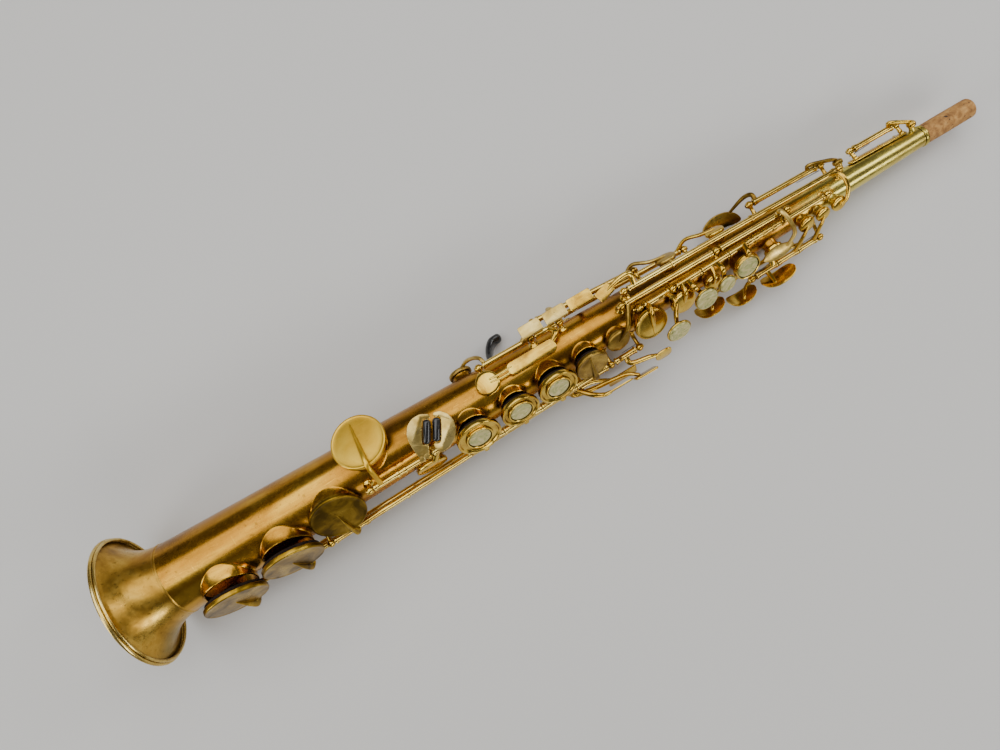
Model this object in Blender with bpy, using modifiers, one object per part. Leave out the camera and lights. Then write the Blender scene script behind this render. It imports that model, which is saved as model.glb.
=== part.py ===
"""Soprano saxophone with a one-piece straight body, lying as it rests on a table.

+X runs along the tube from the bell to the mouthpiece end, +Z is up, and the origin is
under the middle of the object, level with the lowest point of the bell rim.
A place is given as (u, angle, rho): u is the distance from the bell face along the tube,
angle is degrees round the tube from straight up, positive towards -Y, and rho is the
distance from the tube's axis. Lengths in the tables are millimetres.
"""

import math
from dataclasses import dataclass

import bmesh
import bpy
from mathutils import Matrix, Vector

MM = 0.001

# Body tube and bell
LENGTH = 635.5
BELL_RADIUS = 44.5
CONE_RADIUS_AT_BELL = 24.95
CONE_TAPER = 0.0307
WALL = 1.0
FLARE_LENGTH = 42.0
FLARE_POWER = 3.8
SEAM_U = 29.5
TUBE_END_U = 594.3
RIM_FLAT = 1.4
RIM_BEAD = 2.0
BELL_STEPS = 36
BODY_STEPS = 30
BIG_CHIMNEY_SIDES = 16
SMALL_CHIMNEY_SIDES = 8

# Neck end
FERRULE_LENGTH = 2.6
FERRULE_RADIUS = 7.3
CORK_RADIUS = 6.9
CORK_BORE = 4.4

# Mechanism
ROD_RADIUS = 1.0
ROD_BORE = 1.3
HINGE_RADIUS = 2.1
POST_BALL = 2.6
POST_STEM = 1.35
POST_SIDES = 5
ROD_SIDES = 8
BORE_SIDES = 6
HINGE_SIDES = 8
CUP_THICKNESS = 3.2
CHIMNEY_WALL = 1.1
SEAT_GAP = 0.3
PAD_THICKNESS = 2.2
TOUCH_THICKNESS = 1.4
PEARL_THICKNESS = 1.7
ROLLER_RADIUS = 2.5
ROLLER_LENGTH = 14.6
GAP = 0.3

# Front of the instrument, where the finger pearls are
FRONT = 47.0
LOWER_STACK = 45.0
# The player's right thumb side, opposite the front
BACK = -133.0

# Hinge rods: start place, end place, and the stations of their posts
RODS = {
    "low_b_flat_rod": ((50, 113, 33.7), (318, 126, 31.6), (52, 316)),
    "low_b_rod": ((86, 100, 32.8), (318, 117, 29.8), (88, 316)),
    "low_c_sharp_rod": ((122, 87, 31.6), (318, 108, 27.9), (124, 316)),
    "c_e_flat_rod": ((164, 33, 26.2), (223, 33, 25.6), (166, 208, 221)),
    "lower_stack_rod": ((229, 88, 27.4), (362, 88, 24.7), (231, 338, 360)),
    "fork_trill_rod": ((260, -50, 21.8), (323, -50, 20.6), (262, 300, 321)),
    "side_b_flat_rod": ((306, -97, 25.4), (386, -104, 21.0), (308, 384)),
    "side_c_rod": ((324, -120, 22.4), (424, -123, 18.8), (326, 422)),
    "high_e_rod": ((364, -36, 19.9), (531, -36, 15.2), (366, 529)),
    "g_sharp_rod": ((357, -13, 19.9), (486, -13, 15.9), (359, 430, 484)),
    "upper_stack_rod": ((367, 9, 19.4), (514, 4, 15.6), (369, 393, 512)),
    "palm_rod": ((448, 102, 25.2), (506, 102, 24.0), (450, 504)),
    "octave_rod": ((470, -92, 18.8), (529, -92, 17.6), (472, 527)),
    "neck_octave_rod": ((546, -84, 15.6), (586, -84, 15.1), (548, 584)),
}
NECK_POST_BALL = 2.3


@dataclass
class Key:
    """One moving key. Its cup, if it has one, covers a tone hole of the body."""

    name: str
    rod: str
    tube: tuple  # stations of the hinge tube's ends
    cup: tuple = None  # u, angle and radius of the cup
    chimney: tuple = None  # radius and height above the tube of the chimney under the cup
    swing: float = 6.0  # degrees between shut and open
    rests_open: bool = False
    arm_u: float = None  # station where the arm leaves the hinge tube
    arm: str = "rim"  # "rim" meets the cup's edge, "over" crosses its top, "fin" is a tall rib
    pearl: float = 0.0  # radius of a pearl held in the middle of the cup
    via: tuple = ()  # places that the arm passes where it has to go round a post


KEYS = [
    Key("low_b_flat_key", "low_b_flat_rod", (55, 313), (60, 62, 20.3), (17.0, 3.0), 8, True, 65, "fin"),
    Key("low_b_key", "low_b_rod", (91, 313), (102, 60, 20.0), (16.4, 2.7), 8.5, True, 106.5, "fin"),
    Key("low_c_sharp_key", "low_c_sharp_rod", (127, 313), (140.5, 46, 18.2), (15.5, 2.0), 7, False, 143.5,
        "fin"),
    Key("low_c_key", "c_e_flat_rod", (169, 205), (175.5, -35.5, 17.7), (15.0, 2.5), 9, True, 174, "over"),
    Key("low_e_flat_key", "c_e_flat_rod", (211, 218), (205, 75.5, 10.9), (9.6, 1.7), 3, False, 214, "rim"),
    Key("d_key", "lower_stack_rod", (234, 255.5), (240.5, LOWER_STACK, 14.9), (11.0, 3.3), 8, True, 240.5,
        pearl=7.7),
    Key("e_key", "lower_stack_rod", (256, 284.5), (271, LOWER_STACK, 13.0), (9.5, 3.3), 8, True, 271,
        pearl=7.4),
    Key("f_key", "lower_stack_rod", (285, 310.5), (299, LOWER_STACK, 13.5), (10.4, 3.3), 8, True, 299,
        pearl=7.4),
    Key("f_sharp_key", "lower_stack_rod", (311, 335), (324.5, LOWER_STACK, 11.3), (8.8, 3.3), 8, True, 324.5,
        "over"),
    Key("g_sharp_lever", "lower_stack_rod", (341, 357), swing=5),
    Key("g_sharp_key", "g_sharp_rod", (362, 427), (348, FRONT, 8.5), (6.8, 2.0), 5, False, 364, "over"),
    Key("g_key", "upper_stack_rod", (372, 390), (371, 44, 11.5), (8.8, 5.7), 6, False, 374, "over"),
    Key("a_key", "upper_stack_rod", (396, 414.5), (397, FRONT, 9.0), (7.0, 3.5), 6, False, 400, "over"),
    Key("bis_key", "upper_stack_rod", (415, 435.5), (420, FRONT, 6.2), (4.7, 3.5), 6, False, 422, "over"),
    Key("b_key", "upper_stack_rod", (436, 509), (443.7, FRONT, 9.5), (7.4, 6.7), 6, False, 447.5, pearl=7.6),
    Key("front_f_key", "g_sharp_rod", (433, 481), swing=4),
    Key("fork_e_flat_key", "fork_trill_rod", (303, 318), (262, -15, 8.0), (6.0, 3.0), 4),
    Key("e_flat_trill_key", "fork_trill_rod", (265, 297), (250, -112, 8.0), (6.2, 2.5), 5, False, 267,
        via=((265, -62, 25.5), (258, -90, 25.0))),
    Key("side_b_flat_key", "side_b_flat_rod", (311, 381), (403, -70, 7.2), (5.4, 3.2), 5, False, 378,
        via=((384, -92, 24.2), (393, -76, 20.4))),
    Key("side_c_key", "side_c_rod", (329, 419), (440, -70, 6.5), (4.9, 3.2), 5, False, 416,
        via=((424, -104, 21.4), (433, -84, 18.2))),
    Key("high_e_key", "high_e_rod", (369, 526), (519, FRONT, 5.3), (3.9, 3.4), 5, False, 522,
        via=((525, -18, 18.8), (525.5, 10, 18.2), (523, 36, 17.0))),
    Key("palm_d_key", "palm_rod", (453, 469.5), (468, 70, 6.5), (4.9, 3.4), 5, False, 467, "rim"),
    Key("palm_e_flat_key", "palm_rod", (470, 486), (493.5, 50, 5.6), (4.2, 3.4), 5, False, 484, "over"),
    Key("palm_f_key", "palm_rod", (486.5, 501), (506.5, 50, 5.0), (3.8, 3.4), 5, False, 499, "over"),
    Key("octave_thumb_key", "octave_rod", (475, 523.5), (536, -76, 3.4), (2.2, 3.6), 6, False, 518,
        via=((518, -82, 21.4), (531, -76, 17.8))),
    Key("neck_octave_key", "neck_octave_rod", (551, 581), (590.5, -60, 3.0), (1.9, 3.4), 6, False, 579,
        via=((578, -72, 19.2), (587, -62, 15.0))),
]
KEY = {key.name: key for key in KEYS}

# Finger pearls that stand beside their cups: place of the centre, and radius
SIDE_PEARLS = {
    "g_key": ((382.7, 54, 33.0), 7.7),
    "a_key": ((409, FRONT, 25.0), 7.5),
    "bis_key": ((425.8, FRONT, 23.2), 5.6),
}

BRASS = ((0.62, 0.40, 0.14), 0.32, 1.0)
OLIVE_BRASS = ((0.42, 0.32, 0.12), 0.42, 1.0)
BRIGHT_BRASS = ((0.85, 0.64, 0.26), 0.25, 1.0)
NICKEL = ((0.72, 0.66, 0.52), 0.28, 1.0)
STEEL = ((0.60, 0.60, 0.58), 0.25, 1.0)
PEARL = ((0.78, 0.80, 0.62), 0.20, 0.0)
CORK = ((0.62, 0.38, 0.22), 0.85, 0.0)
BLACK = ((0.02, 0.02, 0.02), 0.25, 0.0)
PAD = ((0.10, 0.06, 0.04), 0.80, 0.0)


def cone_radius(u):
    return CONE_RADIUS_AT_BELL - CONE_TAPER * u


def outer_radius(u):
    """Outside radius of the sheet metal at station u, flare included."""
    rise = BELL_RADIUS - RIM_BEAD - CONE_RADIUS_AT_BELL
    return cone_radius(u) + rise * max(0.0, 1 - u / FLARE_LENGTH) ** FLARE_POWER


def radial(angle):
    turn = math.radians(angle)
    return Vector((0, -math.sin(turn), math.cos(turn)))


def tangent(angle):
    turn = math.radians(angle)
    return Vector((0, -math.cos(turn), -math.sin(turn)))


def at(u, angle, rho):
    """The world point, in metres, of a place on or round the tube."""
    axis_point = Vector((u - LENGTH / 2, 0, BELL_RADIUS))
    return (axis_point + radial(angle) * rho) * MM


def across(u, y, z):
    """The world point of station u, y across the picture and z above the tube's axis."""
    return Vector((u - LENGTH / 2, y, z + BELL_RADIUS)) * MM


def on_rod(rod, u):
    start, end = at(*RODS[rod][0]), at(*RODS[rod][1])
    share = (u - RODS[rod][0][0]) / (RODS[rod][1][0] - RODS[rod][0][0])
    return start.lerp(end, share)


def rod_direction(rod):
    return (at(*RODS[rod][1]) - at(*RODS[rod][0])).normalized()


def facing(direction):
    """A rotation that turns +Z to the direction and keeps +X as near to the tube's as it can."""
    up = direction.normalized()
    side = Vector((1, 0, 0)) - up * up.x
    if side.length < 0.01:
        side = Vector((0, 1, 0)) - up * up.y
    side.normalize()
    return Matrix((side, up.cross(side), up)).transposed().to_4x4()


# Collections and shape tools


def new_collection(name):
    collection = bpy.data.collections.new(name)
    bpy.context.scene.collection.children.link(collection)
    return collection


def clear_scene():
    for obj in list(bpy.data.objects):
        bpy.data.objects.remove(obj, do_unlink=True)


def add_object(name, data):
    obj = bpy.data.objects.new(name, data)
    WORK.objects.link(obj)
    return obj


def settle(obj):
    """The object with its modifiers and its place taken into its own mesh."""
    bpy.context.view_layer.update()
    graph = bpy.context.evaluated_depsgraph_get()
    evaluated = obj.evaluated_get(graph)
    mesh = bpy.data.meshes.new_from_object(evaluated)
    mesh.transform(obj.matrix_world)
    work = bmesh.new()
    work.from_mesh(mesh)
    bmesh.ops.remove_doubles(work, verts=work.verts, dist=0.002 * MM)
    bmesh.ops.recalc_face_normals(work, faces=work.faces)
    work.to_mesh(mesh)
    work.free()
    name = obj.name
    bpy.data.objects.remove(obj)
    return add_object(name, mesh)


def primitive(name, build):
    """An object whose mesh the function builds, in metres."""
    mesh = bpy.data.meshes.new(name)
    work = bmesh.new()
    build(work)
    work.to_mesh(mesh)
    work.free()
    return add_object(name, mesh)


def cylinder(start, end, radius, sides=12, end_radius=None):
    length = (end - start).length
    place = Matrix.Translation((start + end) / 2) @ facing(end - start)

    def build(work):
        bmesh.ops.create_cone(
            work, cap_ends=True, segments=sides, radius1=radius * MM,
            radius2=(end_radius or radius) * MM, depth=length, matrix=place,
        )

    return primitive("cylinder", build)


def ball(centre, radius, across_axis, sides=6, rings=4):
    place = Matrix.Translation(centre) @ facing(across_axis)

    def build(work):
        bmesh.ops.create_uvsphere(work, u_segments=sides, v_segments=rings, radius=radius * MM, matrix=place)

    return primitive("ball", build)


def turned(profile, base, direction, steps=24, closed=False):
    """A profile of (radius, height) points turned round the direction, from the base point."""
    mesh = bpy.data.meshes.new("profile")
    edges = [(i, i + 1) for i in range(len(profile) - 1)]
    if closed:
        edges.append((len(profile) - 1, 0))
    mesh.from_pydata([(r * MM, 0, h * MM) for r, h in profile], edges, [])
    obj = add_object("turned", mesh)
    screw = obj.modifiers.new("Turn", "SCREW")
    screw.steps = steps
    screw.render_steps = steps
    screw.use_merge_vertices = True
    screw.merge_threshold = 0.00001
    obj.matrix_world = Matrix.Translation(base) @ facing(direction)
    return settle(obj)


def bar(points, radii, resolution=1):
    """A bent round bar through the points, with its own radius at each."""
    curve = bpy.data.curves.new("bar", "CURVE")
    curve.dimensions = "3D"
    curve.bevel_depth = MM
    curve.bevel_resolution = resolution
    curve.use_fill_caps = True
    spline = curve.splines.new("POLY")
    spline.points.add(len(points) - 1)
    for knot, point, radius in zip(spline.points, points, radii):
        knot.co = (*point, 1)
        knot.radius = radius
    return settle(add_object("bar", curve))


def plate(outline, thickness, place):
    """A flat outline of (x, y) points with a thickness, laid on the XY plane of the place."""
    curve = bpy.data.curves.new("plate", "CURVE")
    curve.dimensions = "2D"
    curve.fill_mode = "BOTH"
    curve.extrude = thickness * MM / 2
    spline = curve.splines.new("POLY")
    spline.points.add(len(outline) - 1)
    spline.use_cyclic_u = True
    for knot, (x, y) in zip(spline.points, outline):
        knot.co = (x * MM, y * MM, 0, 1)
    obj = add_object("plate", curve)
    obj.matrix_world = place
    return settle(obj)


def rounded_box(length, width, corner, arc_steps=3):
    """The outline of a box with round corners, centred on the origin."""
    outline = []
    for quarter, (sx, sy) in enumerate(((1, 1), (-1, 1), (-1, -1), (1, -1))):
        for step in range(arc_steps + 1):
            turn = math.radians(90 * (quarter + step / arc_steps))
            x = sx * (length / 2 - corner) + corner * math.cos(turn)
            y = sy * (width / 2 - corner) + corner * math.sin(turn)
            outline.append((x, y))
    return outline


def combine(obj, others, operation):
    """The object joined to, or cut by, each of the others in turn."""
    for other in others:
        boolean = obj.modifiers.new("Combine", "BOOLEAN")
        boolean.operation = operation
        boolean.solver = "EXACT"
        boolean.object = other
        obj = settle(obj)
        bpy.data.objects.remove(other)
    return obj


def material(name, finish):
    colour, roughness, metallic = finish
    made = bpy.data.materials.new(name)
    made.use_nodes = True
    shader = made.node_tree.nodes["Principled BSDF"]
    shader.inputs["Base Color"].default_value = (*colour, 1)
    shader.inputs["Roughness"].default_value = roughness
    shader.inputs["Metallic"].default_value = metallic
    return made


def finish_part(obj, name, finish, pivot=None):
    """Names the part, gives it its material and puts its origin on its pivot."""
    obj.name = name
    obj.data.name = name
    obj.data.materials.clear()
    obj.data.materials.append(material(name, finish))
    obj.data.shade_smooth()
    obj.data.set_sharp_from_angle(angle=math.radians(35))
    if pivot is not None:
        obj.data.transform(Matrix.Translation(-pivot))
        obj.location = pivot
    WORK.objects.unlink(obj)
    PARTS.objects.link(obj)
    return obj


# Places worked out from the key table


def chimney_top(key):
    return cone_radius(key.cup[0]) + key.chimney[1]


def cup_base(key):
    """Distance from the tube's axis to the cup's underside when the key is shut."""
    pad = PAD_THICKNESS if key.rests_open else 0.0
    return chimney_top(key) + SEAT_GAP + pad


def opening_sign(key):
    """+1 if the key opens by turning right-handed about its rod's direction, or else -1."""
    if key.cup is None:
        return 1 if key.name == "g_sharp_lever" else -1
    u, angle, _ = key.cup
    lever = at(u, angle, cup_base(key)) - on_rod(key.rod, u)
    return 1 if rod_direction(key.rod).cross(lever).dot(radial(angle)) > 0 else -1


def at_rest(key, obj):
    """Turns a piece made in the shut place to where the key rests."""
    if not key.rests_open:
        return obj
    pivot = on_rod(key.rod, key.tube[0])
    turn = Matrix.Rotation(math.radians(key.swing) * opening_sign(key), 4, rod_direction(key.rod))
    obj.data.transform(Matrix.Translation(pivot) @ turn @ Matrix.Translation(-pivot))
    return obj


# Bell and body


def make_bell():
    stations = [0.6, 2.5, 5, 8, 12, 17, 23, SEAM_U - GAP / 2]
    outer = [(outer_radius(u), u) for u in stations]
    inner = [(r - WALL, u) for r, u in reversed(outer)]
    rim = BELL_RADIUS
    bead = [
        (rim - RIM_BEAD - RIM_FLAT, 0),
        (rim - RIM_BEAD + 0.4, 0),
        (rim - 0.4, 0.8),
        (rim, 2.0),
        (rim - 0.6, 3.3),
    ]
    profile = bead + outer[1:] + inner[:-1]
    bell = turned(profile, at(0, 0, 0), Vector((1, 0, 0)), steps=BELL_STEPS, closed=True)
    finish_part(bell, "bell", BRASS)


def post(rod, u, size=POST_BALL, root_rho=None):
    """A ball post: a stem up from the tube and a ball round the rod."""
    centre = on_rod(rod, u)
    axis_point = at(u, 0, 0)
    outward = (centre - axis_point).normalized()
    root = axis_point + outward * (root_rho or cone_radius(u) - WALL * 0.7) * MM
    stem = cylinder(root, centre, POST_STEM + 0.45, POST_SIDES, POST_STEM)
    return [stem, ball(centre, size, rod_direction(rod))]


def rod_bore(rod):
    start, end = at(*RODS[rod][0]), at(*RODS[rod][1])
    along = rod_direction(rod) * 3 * MM
    return cylinder(start - along, end + along, ROD_BORE, BORE_SIDES)


def make_body():
    start = SEAM_U + GAP / 2
    stations = [start, 34, FLARE_LENGTH, TUBE_END_U]
    profile = [(0, start)] + [(outer_radius(u), u) for u in stations] + [(0, TUBE_END_U)]
    body = turned(profile, at(0, 0, 0), Vector((1, 0, 0)), steps=BODY_STEPS)
    added = []
    holes = []
    for key in KEYS:
        if key.cup is None:
            continue
        u, angle, _ = key.cup
        radius = key.chimney[0]
        sides = BIG_CHIMNEY_SIDES if radius > 8 else SMALL_CHIMNEY_SIDES
        root = at(u, angle, cone_radius(u) * 0.45)
        top = at(u, angle, chimney_top(key))
        added.append(cylinder(root, top, radius, sides))
        hole_top = top + radial(angle) * MM
        hole_root = at(u, angle, cone_radius(u) * 0.25)
        holes.append(cylinder(hole_root, hole_top, radius - CHIMNEY_WALL, sides))
    for rod, (_, _, stations) in RODS.items():
        if rod == "neck_octave_rod":
            continue
        for u in stations:
            added += post(rod, u)
    body = combine(body, added, "UNION")
    bore_stations = [start - 1, 34, FLARE_LENGTH, TUBE_END_U + 1]
    bore_profile = [(0, start - 1)]
    bore_profile += [(outer_radius(u) - WALL, u) for u in bore_stations]
    bore_profile += [(0, TUBE_END_U + 1)]
    bore = turned(bore_profile, at(0, 0, 0), Vector((1, 0, 0)), steps=BODY_STEPS)
    rod_bores = [rod_bore(rod) for rod in RODS if rod != "neck_octave_rod"]
    body = combine(body, [bore] + holes + rod_bores, "DIFFERENCE")
    finish_part(body, "body_tube", BRASS)


def make_neck_end():
    start = TUBE_END_U + GAP
    end = start + FERRULE_LENGTH
    bore = cone_radius(TUBE_END_U) - WALL
    ring = [(bore, start), (FERRULE_RADIUS, start), (FERRULE_RADIUS, end - 0.8), (FERRULE_RADIUS - 0.5, end),
            (bore, end)]
    ferrule = turned(ring, at(0, 0, 0), Vector((1, 0, 0)), steps=20, closed=True)
    finish_part(ferrule, "neck_ferrule", BRIGHT_BRASS)
    cork = [(CORK_BORE, end + GAP), (CORK_RADIUS, end + GAP), (CORK_RADIUS, LENGTH - 2),
            (CORK_RADIUS - 0.5, LENGTH - 0.7), (CORK_RADIUS - 1.4, LENGTH), (CORK_BORE, LENGTH)]
    sleeve = turned(cork, at(0, 0, 0), Vector((1, 0, 0)), steps=20, closed=True)
    finish_part(sleeve, "neck_cork", CORK)


def make_saddle():
    """The strip on the neck that carries the octave key's two posts."""
    angle = -70
    middle = (542 + 587) / 2
    lean = math.atan(CONE_TAPER)
    height = cone_radius(middle) + GAP + 0.75
    place = Matrix.Translation(at(middle, angle, height)) @ facing(radial(angle))
    place = place @ Matrix.Rotation(lean, 4, "Y")
    strip = plate(rounded_box(45, 4.6, 2.2), 1.2, place)
    posts = []
    for u in RODS["neck_octave_rod"][2]:
        centre = on_rod("neck_octave_rod", u)
        root = at(u, angle, cone_radius(u) + GAP + 0.7)
        posts.append(cylinder(root, centre, 1.5, POST_SIDES, 1.2))
        posts.append(ball(centre, NECK_POST_BALL, rod_direction("neck_octave_rod")))
    saddle = combine(strip, posts, "UNION")
    saddle = combine(saddle, [rod_bore("neck_octave_rod")], "DIFFERENCE")
    finish_part(saddle, "octave_saddle", BRASS)


def make_back_fittings():
    """The right thumb hook, the left thumb rest and the ring for a neck strap."""
    u = 272
    foot_rho = cone_radius(u) + GAP + 0.9
    foot_place = Matrix.Translation(at(u, BACK, foot_rho)) @ facing(radial(BACK))
    foot = plate(rounded_box(20, 9, 3), 1.5, foot_place)
    hook = bar(
        [at(u, BACK, foot_rho), at(u + 1, BACK, 27), at(u + 4, BACK, 34), at(u + 8, BACK, 38.5),
         at(u + 13, BACK, 39.5)],
        [3.0, 2.7, 2.8, 3.0, 2.6], 2,
    )
    finish_part(combine(foot, [hook], "UNION"), "thumb_hook", BLACK)

    u = 461
    rest_rho = cone_radius(u) + GAP
    button = [(0, 0), (6.5, 0), (6.2, 1.6), (4.5, 2.4), (0, 2.6)]
    rest = turned(button, at(u, -150, rest_rho), radial(-150), 20)
    finish_part(rest, "thumb_rest", BLACK)

    u = 330
    foot_rho = cone_radius(u) + GAP + 0.8
    foot_place = Matrix.Translation(at(u, BACK - 12, foot_rho)) @ facing(radial(BACK - 12))
    foot = plate(rounded_box(14, 7, 3), 1.4, foot_place)
    centre = at(u, BACK - 12, foot_rho + 6.1)
    side = tangent(BACK - 12)
    outline = [(4.1, -1.0), (6.0, -1.0), (6.0, 1.0), (4.1, 1.0)]
    ring = turned(outline, centre, side, steps=18, closed=True)
    finish_part(combine(foot, [ring], "UNION"), "strap_ring", BRIGHT_BRASS)


def make_rods():
    for rod, (start, end, _) in RODS.items():
        finish_part(cylinder(at(*start), at(*end), ROD_RADIUS, ROD_SIDES), rod, STEEL)


# Keys


def cup_object(key):
    u, angle, radius = key.cup
    steps = 18 if radius > 11 else 12
    top = CUP_THICKNESS
    well = key.pearl + 0.35
    if key.pearl and well + 3.6 < radius:
        profile = [(0, 0), (radius, 0), (radius, top), (radius - 1.6, top), (radius - 2.4, 1.7),
                   (well + 0.9, 1.7), (well + 0.9, top + 0.3), (well, top + 0.3), (well, 1.6), (0, 1.6)]
    elif key.pearl:
        profile = [(0, 0), (radius, 0), (radius, top - 1.2), (well + 0.8, top + 0.3), (well, top + 0.3),
                   (well, 1.5), (0, 1.5)]
    else:
        profile = [(0, 0), (radius, 0), (radius, top - 0.9), (radius - 0.8, top - 0.2), (0, top)]
    return turned(profile, at(u, angle, cup_base(key)), radial(angle), steps)


def cup_arm(key):
    """The bar that carries the cup, from the hinge tube to the cup's edge or over its top."""
    u, angle, radius = key.cup
    hinge = on_rod(key.rod, key.arm_u)
    centre = at(u, angle, cup_base(key))
    normal = radial(angle)
    lever = hinge - centre
    side = lever - normal * lever.dot(normal)
    side.x = 0
    side.normalize()
    top = CUP_THICKNESS * MM
    slide = Vector(((hinge.x - centre.x) * 0.5, 0, 0))
    rim = centre + side * radius * MM + slide
    if key.via:
        points = [hinge] + [at(*place) for place in key.via] + [centre + normal * top]
        radii = [1.3] * (len(points) - 1) + [1.0]
    elif key.arm == "rim":
        reach = (0.8 if key.pearl else 2.2) * MM
        points = [hinge, rim + side * 1.2 * MM + normal * top * 0.55, rim - side * reach + normal * top * 0.6]
        radii = [1.6, 1.4, 1.2]
    elif key.arm == "fin":
        shoulder = rim + side * 1.6 * MM + normal * (top + 0.6 * MM)
        middle = shoulder.lerp(hinge, 0.5) + side * 1.6 * MM
        points = [hinge, middle, shoulder, centre + normal * (top + 0.2 * MM)]
        radii = [2.0, 2.2, 2.2, 1.1]
    else:
        end = centre + normal * top
        if key.name in ("g_key", "low_c_key", "f_sharp_key"):
            end -= side * radius * 0.72 * MM
        scale = min(1.0, radius / 9)
        points = [hinge, rim + side * 0.6 * MM + normal * (top + 0.0009), end]
        radii = [1.8 * max(scale, 0.8), 1.5 * max(scale, 0.7), 1.0 * max(scale, 0.8)]
    return bar(points, radii)


def bent_plate(u1, u2, y, z, bulge, height, thickness=TOUCH_THICKNESS, lean=0.0):
    """A palm touch: a strip that bulges towards -Y between two stations."""
    steps = 6
    outer = []
    inner = []
    for step in range(steps + 1):
        share = 2 * step / steps - 1
        x = (u2 - u1) / 2 * share
        bow = bulge * (share * share - 1)
        outer.append((x, bow))
        inner.append((x, bow + thickness))
    place = Matrix.Translation(across((u1 + u2) / 2, y, z)) @ Matrix.Rotation(math.radians(lean), 4, "X")
    return plate(outer + inner[::-1], height, place)


def flat_touch(u, y, z, length, width, tilt=0.0, turn=0.0, corner=2.0, thickness=TOUCH_THICKNESS):
    """A flat finger plate. Tilt turns its face about the tube's direction, and turn spins it flat."""
    place = Matrix.Translation(across(u, y, z)) @ Matrix.Rotation(math.radians(tilt), 4, "X")
    place = place @ Matrix.Rotation(math.radians(turn), 4, "Z")
    return plate(rounded_box(length, width, corner), thickness, place)


def pearl_holder(key):
    """The small cup that holds a finger pearl beside the key's own cup, and its arm."""
    place, radius = SIDE_PEARLS[key.name]
    u, angle, rho = place
    profile = [(0, -1.2), (radius + 0.9, 0.4), (radius + 0.9, 1.5), (radius + 0.35, 1.5),
               (radius + 0.35, 0.9), (0, 0.9)]
    holder = turned(profile, at(u, angle, rho), radial(angle), 12)
    hinge_u = {"g_key": 388, "a_key": 404, "bis_key": 426}[key.name]
    hinge = on_rod(key.rod, hinge_u)
    above = at(hinge_u, 20, rho * 0.55 + 11)
    under = at(u, angle - 3, rho - 0.6)
    return [holder, bar([hinge, above, under], [1.4, 1.2, 1.1])]


def low_c_touch():
    """The left half of the heart-shaped little-finger plate, round the end of its roller."""
    outline = [(203.5, -13.0), (202.4, -8.0), (202.2, -1.0), (203.4, 5.0), (206.5, 9.6), (211.0, 12.0),
               (216.5, 12.2), (221.5, 9.4), (221.3, 6.4), (216.4, 9.0), (208.3, -4.9), (212.1, -7.2),
               (210.8, -8.8), (209.0, -13.0)]
    place = Matrix.Translation(across(0, 0, HEART_Z))
    touch = plate(outline, TOUCH_THICKNESS, place)
    stem = bar([on_rod("c_e_flat_rod", 203), across(205, -11.5, HEART_Z)], [1.8, 1.5])
    return [touch, stem]


def low_e_flat_touch():
    """The right half of the heart, round its roller and down to its stem."""
    outline = [(222.7, 5.5), (224.2, 7.2), (228.2, 6.0), (231.4, 2.2), (232.6, -3.0), (231.2, -8.5),
               (227.2, -13.4), (221.5, -16.2), (216.5, -16.4), (214.4, -13.0), (214.5, -9.0),
               (219.1, -11.2), (227.1, 2.7)]
    place = Matrix.Translation(across(0, 0, HEART_Z))
    touch = plate(outline, TOUCH_THICKNESS, place)
    stem = bar([on_rod("c_e_flat_rod", 216), across(217.5, -13.5, HEART_Z)], [1.7, 1.4])
    return [touch, stem]


HEART_Z = 29.0
ROLLER_TURN = 60
ROLLERS = {
    "low_c_roller": ("low_c_key", (214.9, 0.6)),
    "low_e_flat_roller": ("low_e_flat_key", (220.6, -2.7)),
}


def little_finger_touches(name):
    """The plates for the player's left little finger, past the lower end of the stack."""
    if name == "low_c_sharp_key":
        arm = bar([on_rod("low_c_sharp_rod", 310), across(318, -36, -5), across(325, -40.3, -6)],
                  [1.8, 1.5, 1.3])
        return [arm, flat_touch(335, -41, -6.5, 23, 11, tilt=84)]
    if name == "low_b_key":
        arm = bar([on_rod("low_b_rod", 308), at(309, 117, 35.5), across(322, -34, -13.5),
                   across(345, -36.5, -12.5), across(353, -40.5, -9)], [1.8, 1.6, 1.5, 1.4, 1.2])
        return [arm, flat_touch(357, -41.5, -6.5, 17, 11, tilt=84)]
    if name == "low_b_flat_key":
        arm = bar([on_rod("low_b_flat_rod", 307), at(308, 126, 37), across(324, -30.5, -22.5),
                   across(337, -36.5, -20.5)], [1.8, 1.6, 1.5, 1.3])
        return [arm, flat_touch(345, -37.5, -20, 22, 9, tilt=50)]
    arm = bar([on_rod("lower_stack_rod", 349), at(350, 88, 31), across(362, -33.5, 2.5),
               across(369, -36, 1.5)], [1.7, 1.6, 1.5, 1.3])
    finger = bar([on_rod("lower_stack_rod", 345), at(345, 74, 26.5)], [1.5, 1.1])
    return [arm, finger, flat_touch(371.5, -36.6, 1, 12, 10, tilt=60, corner=4)]


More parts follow.
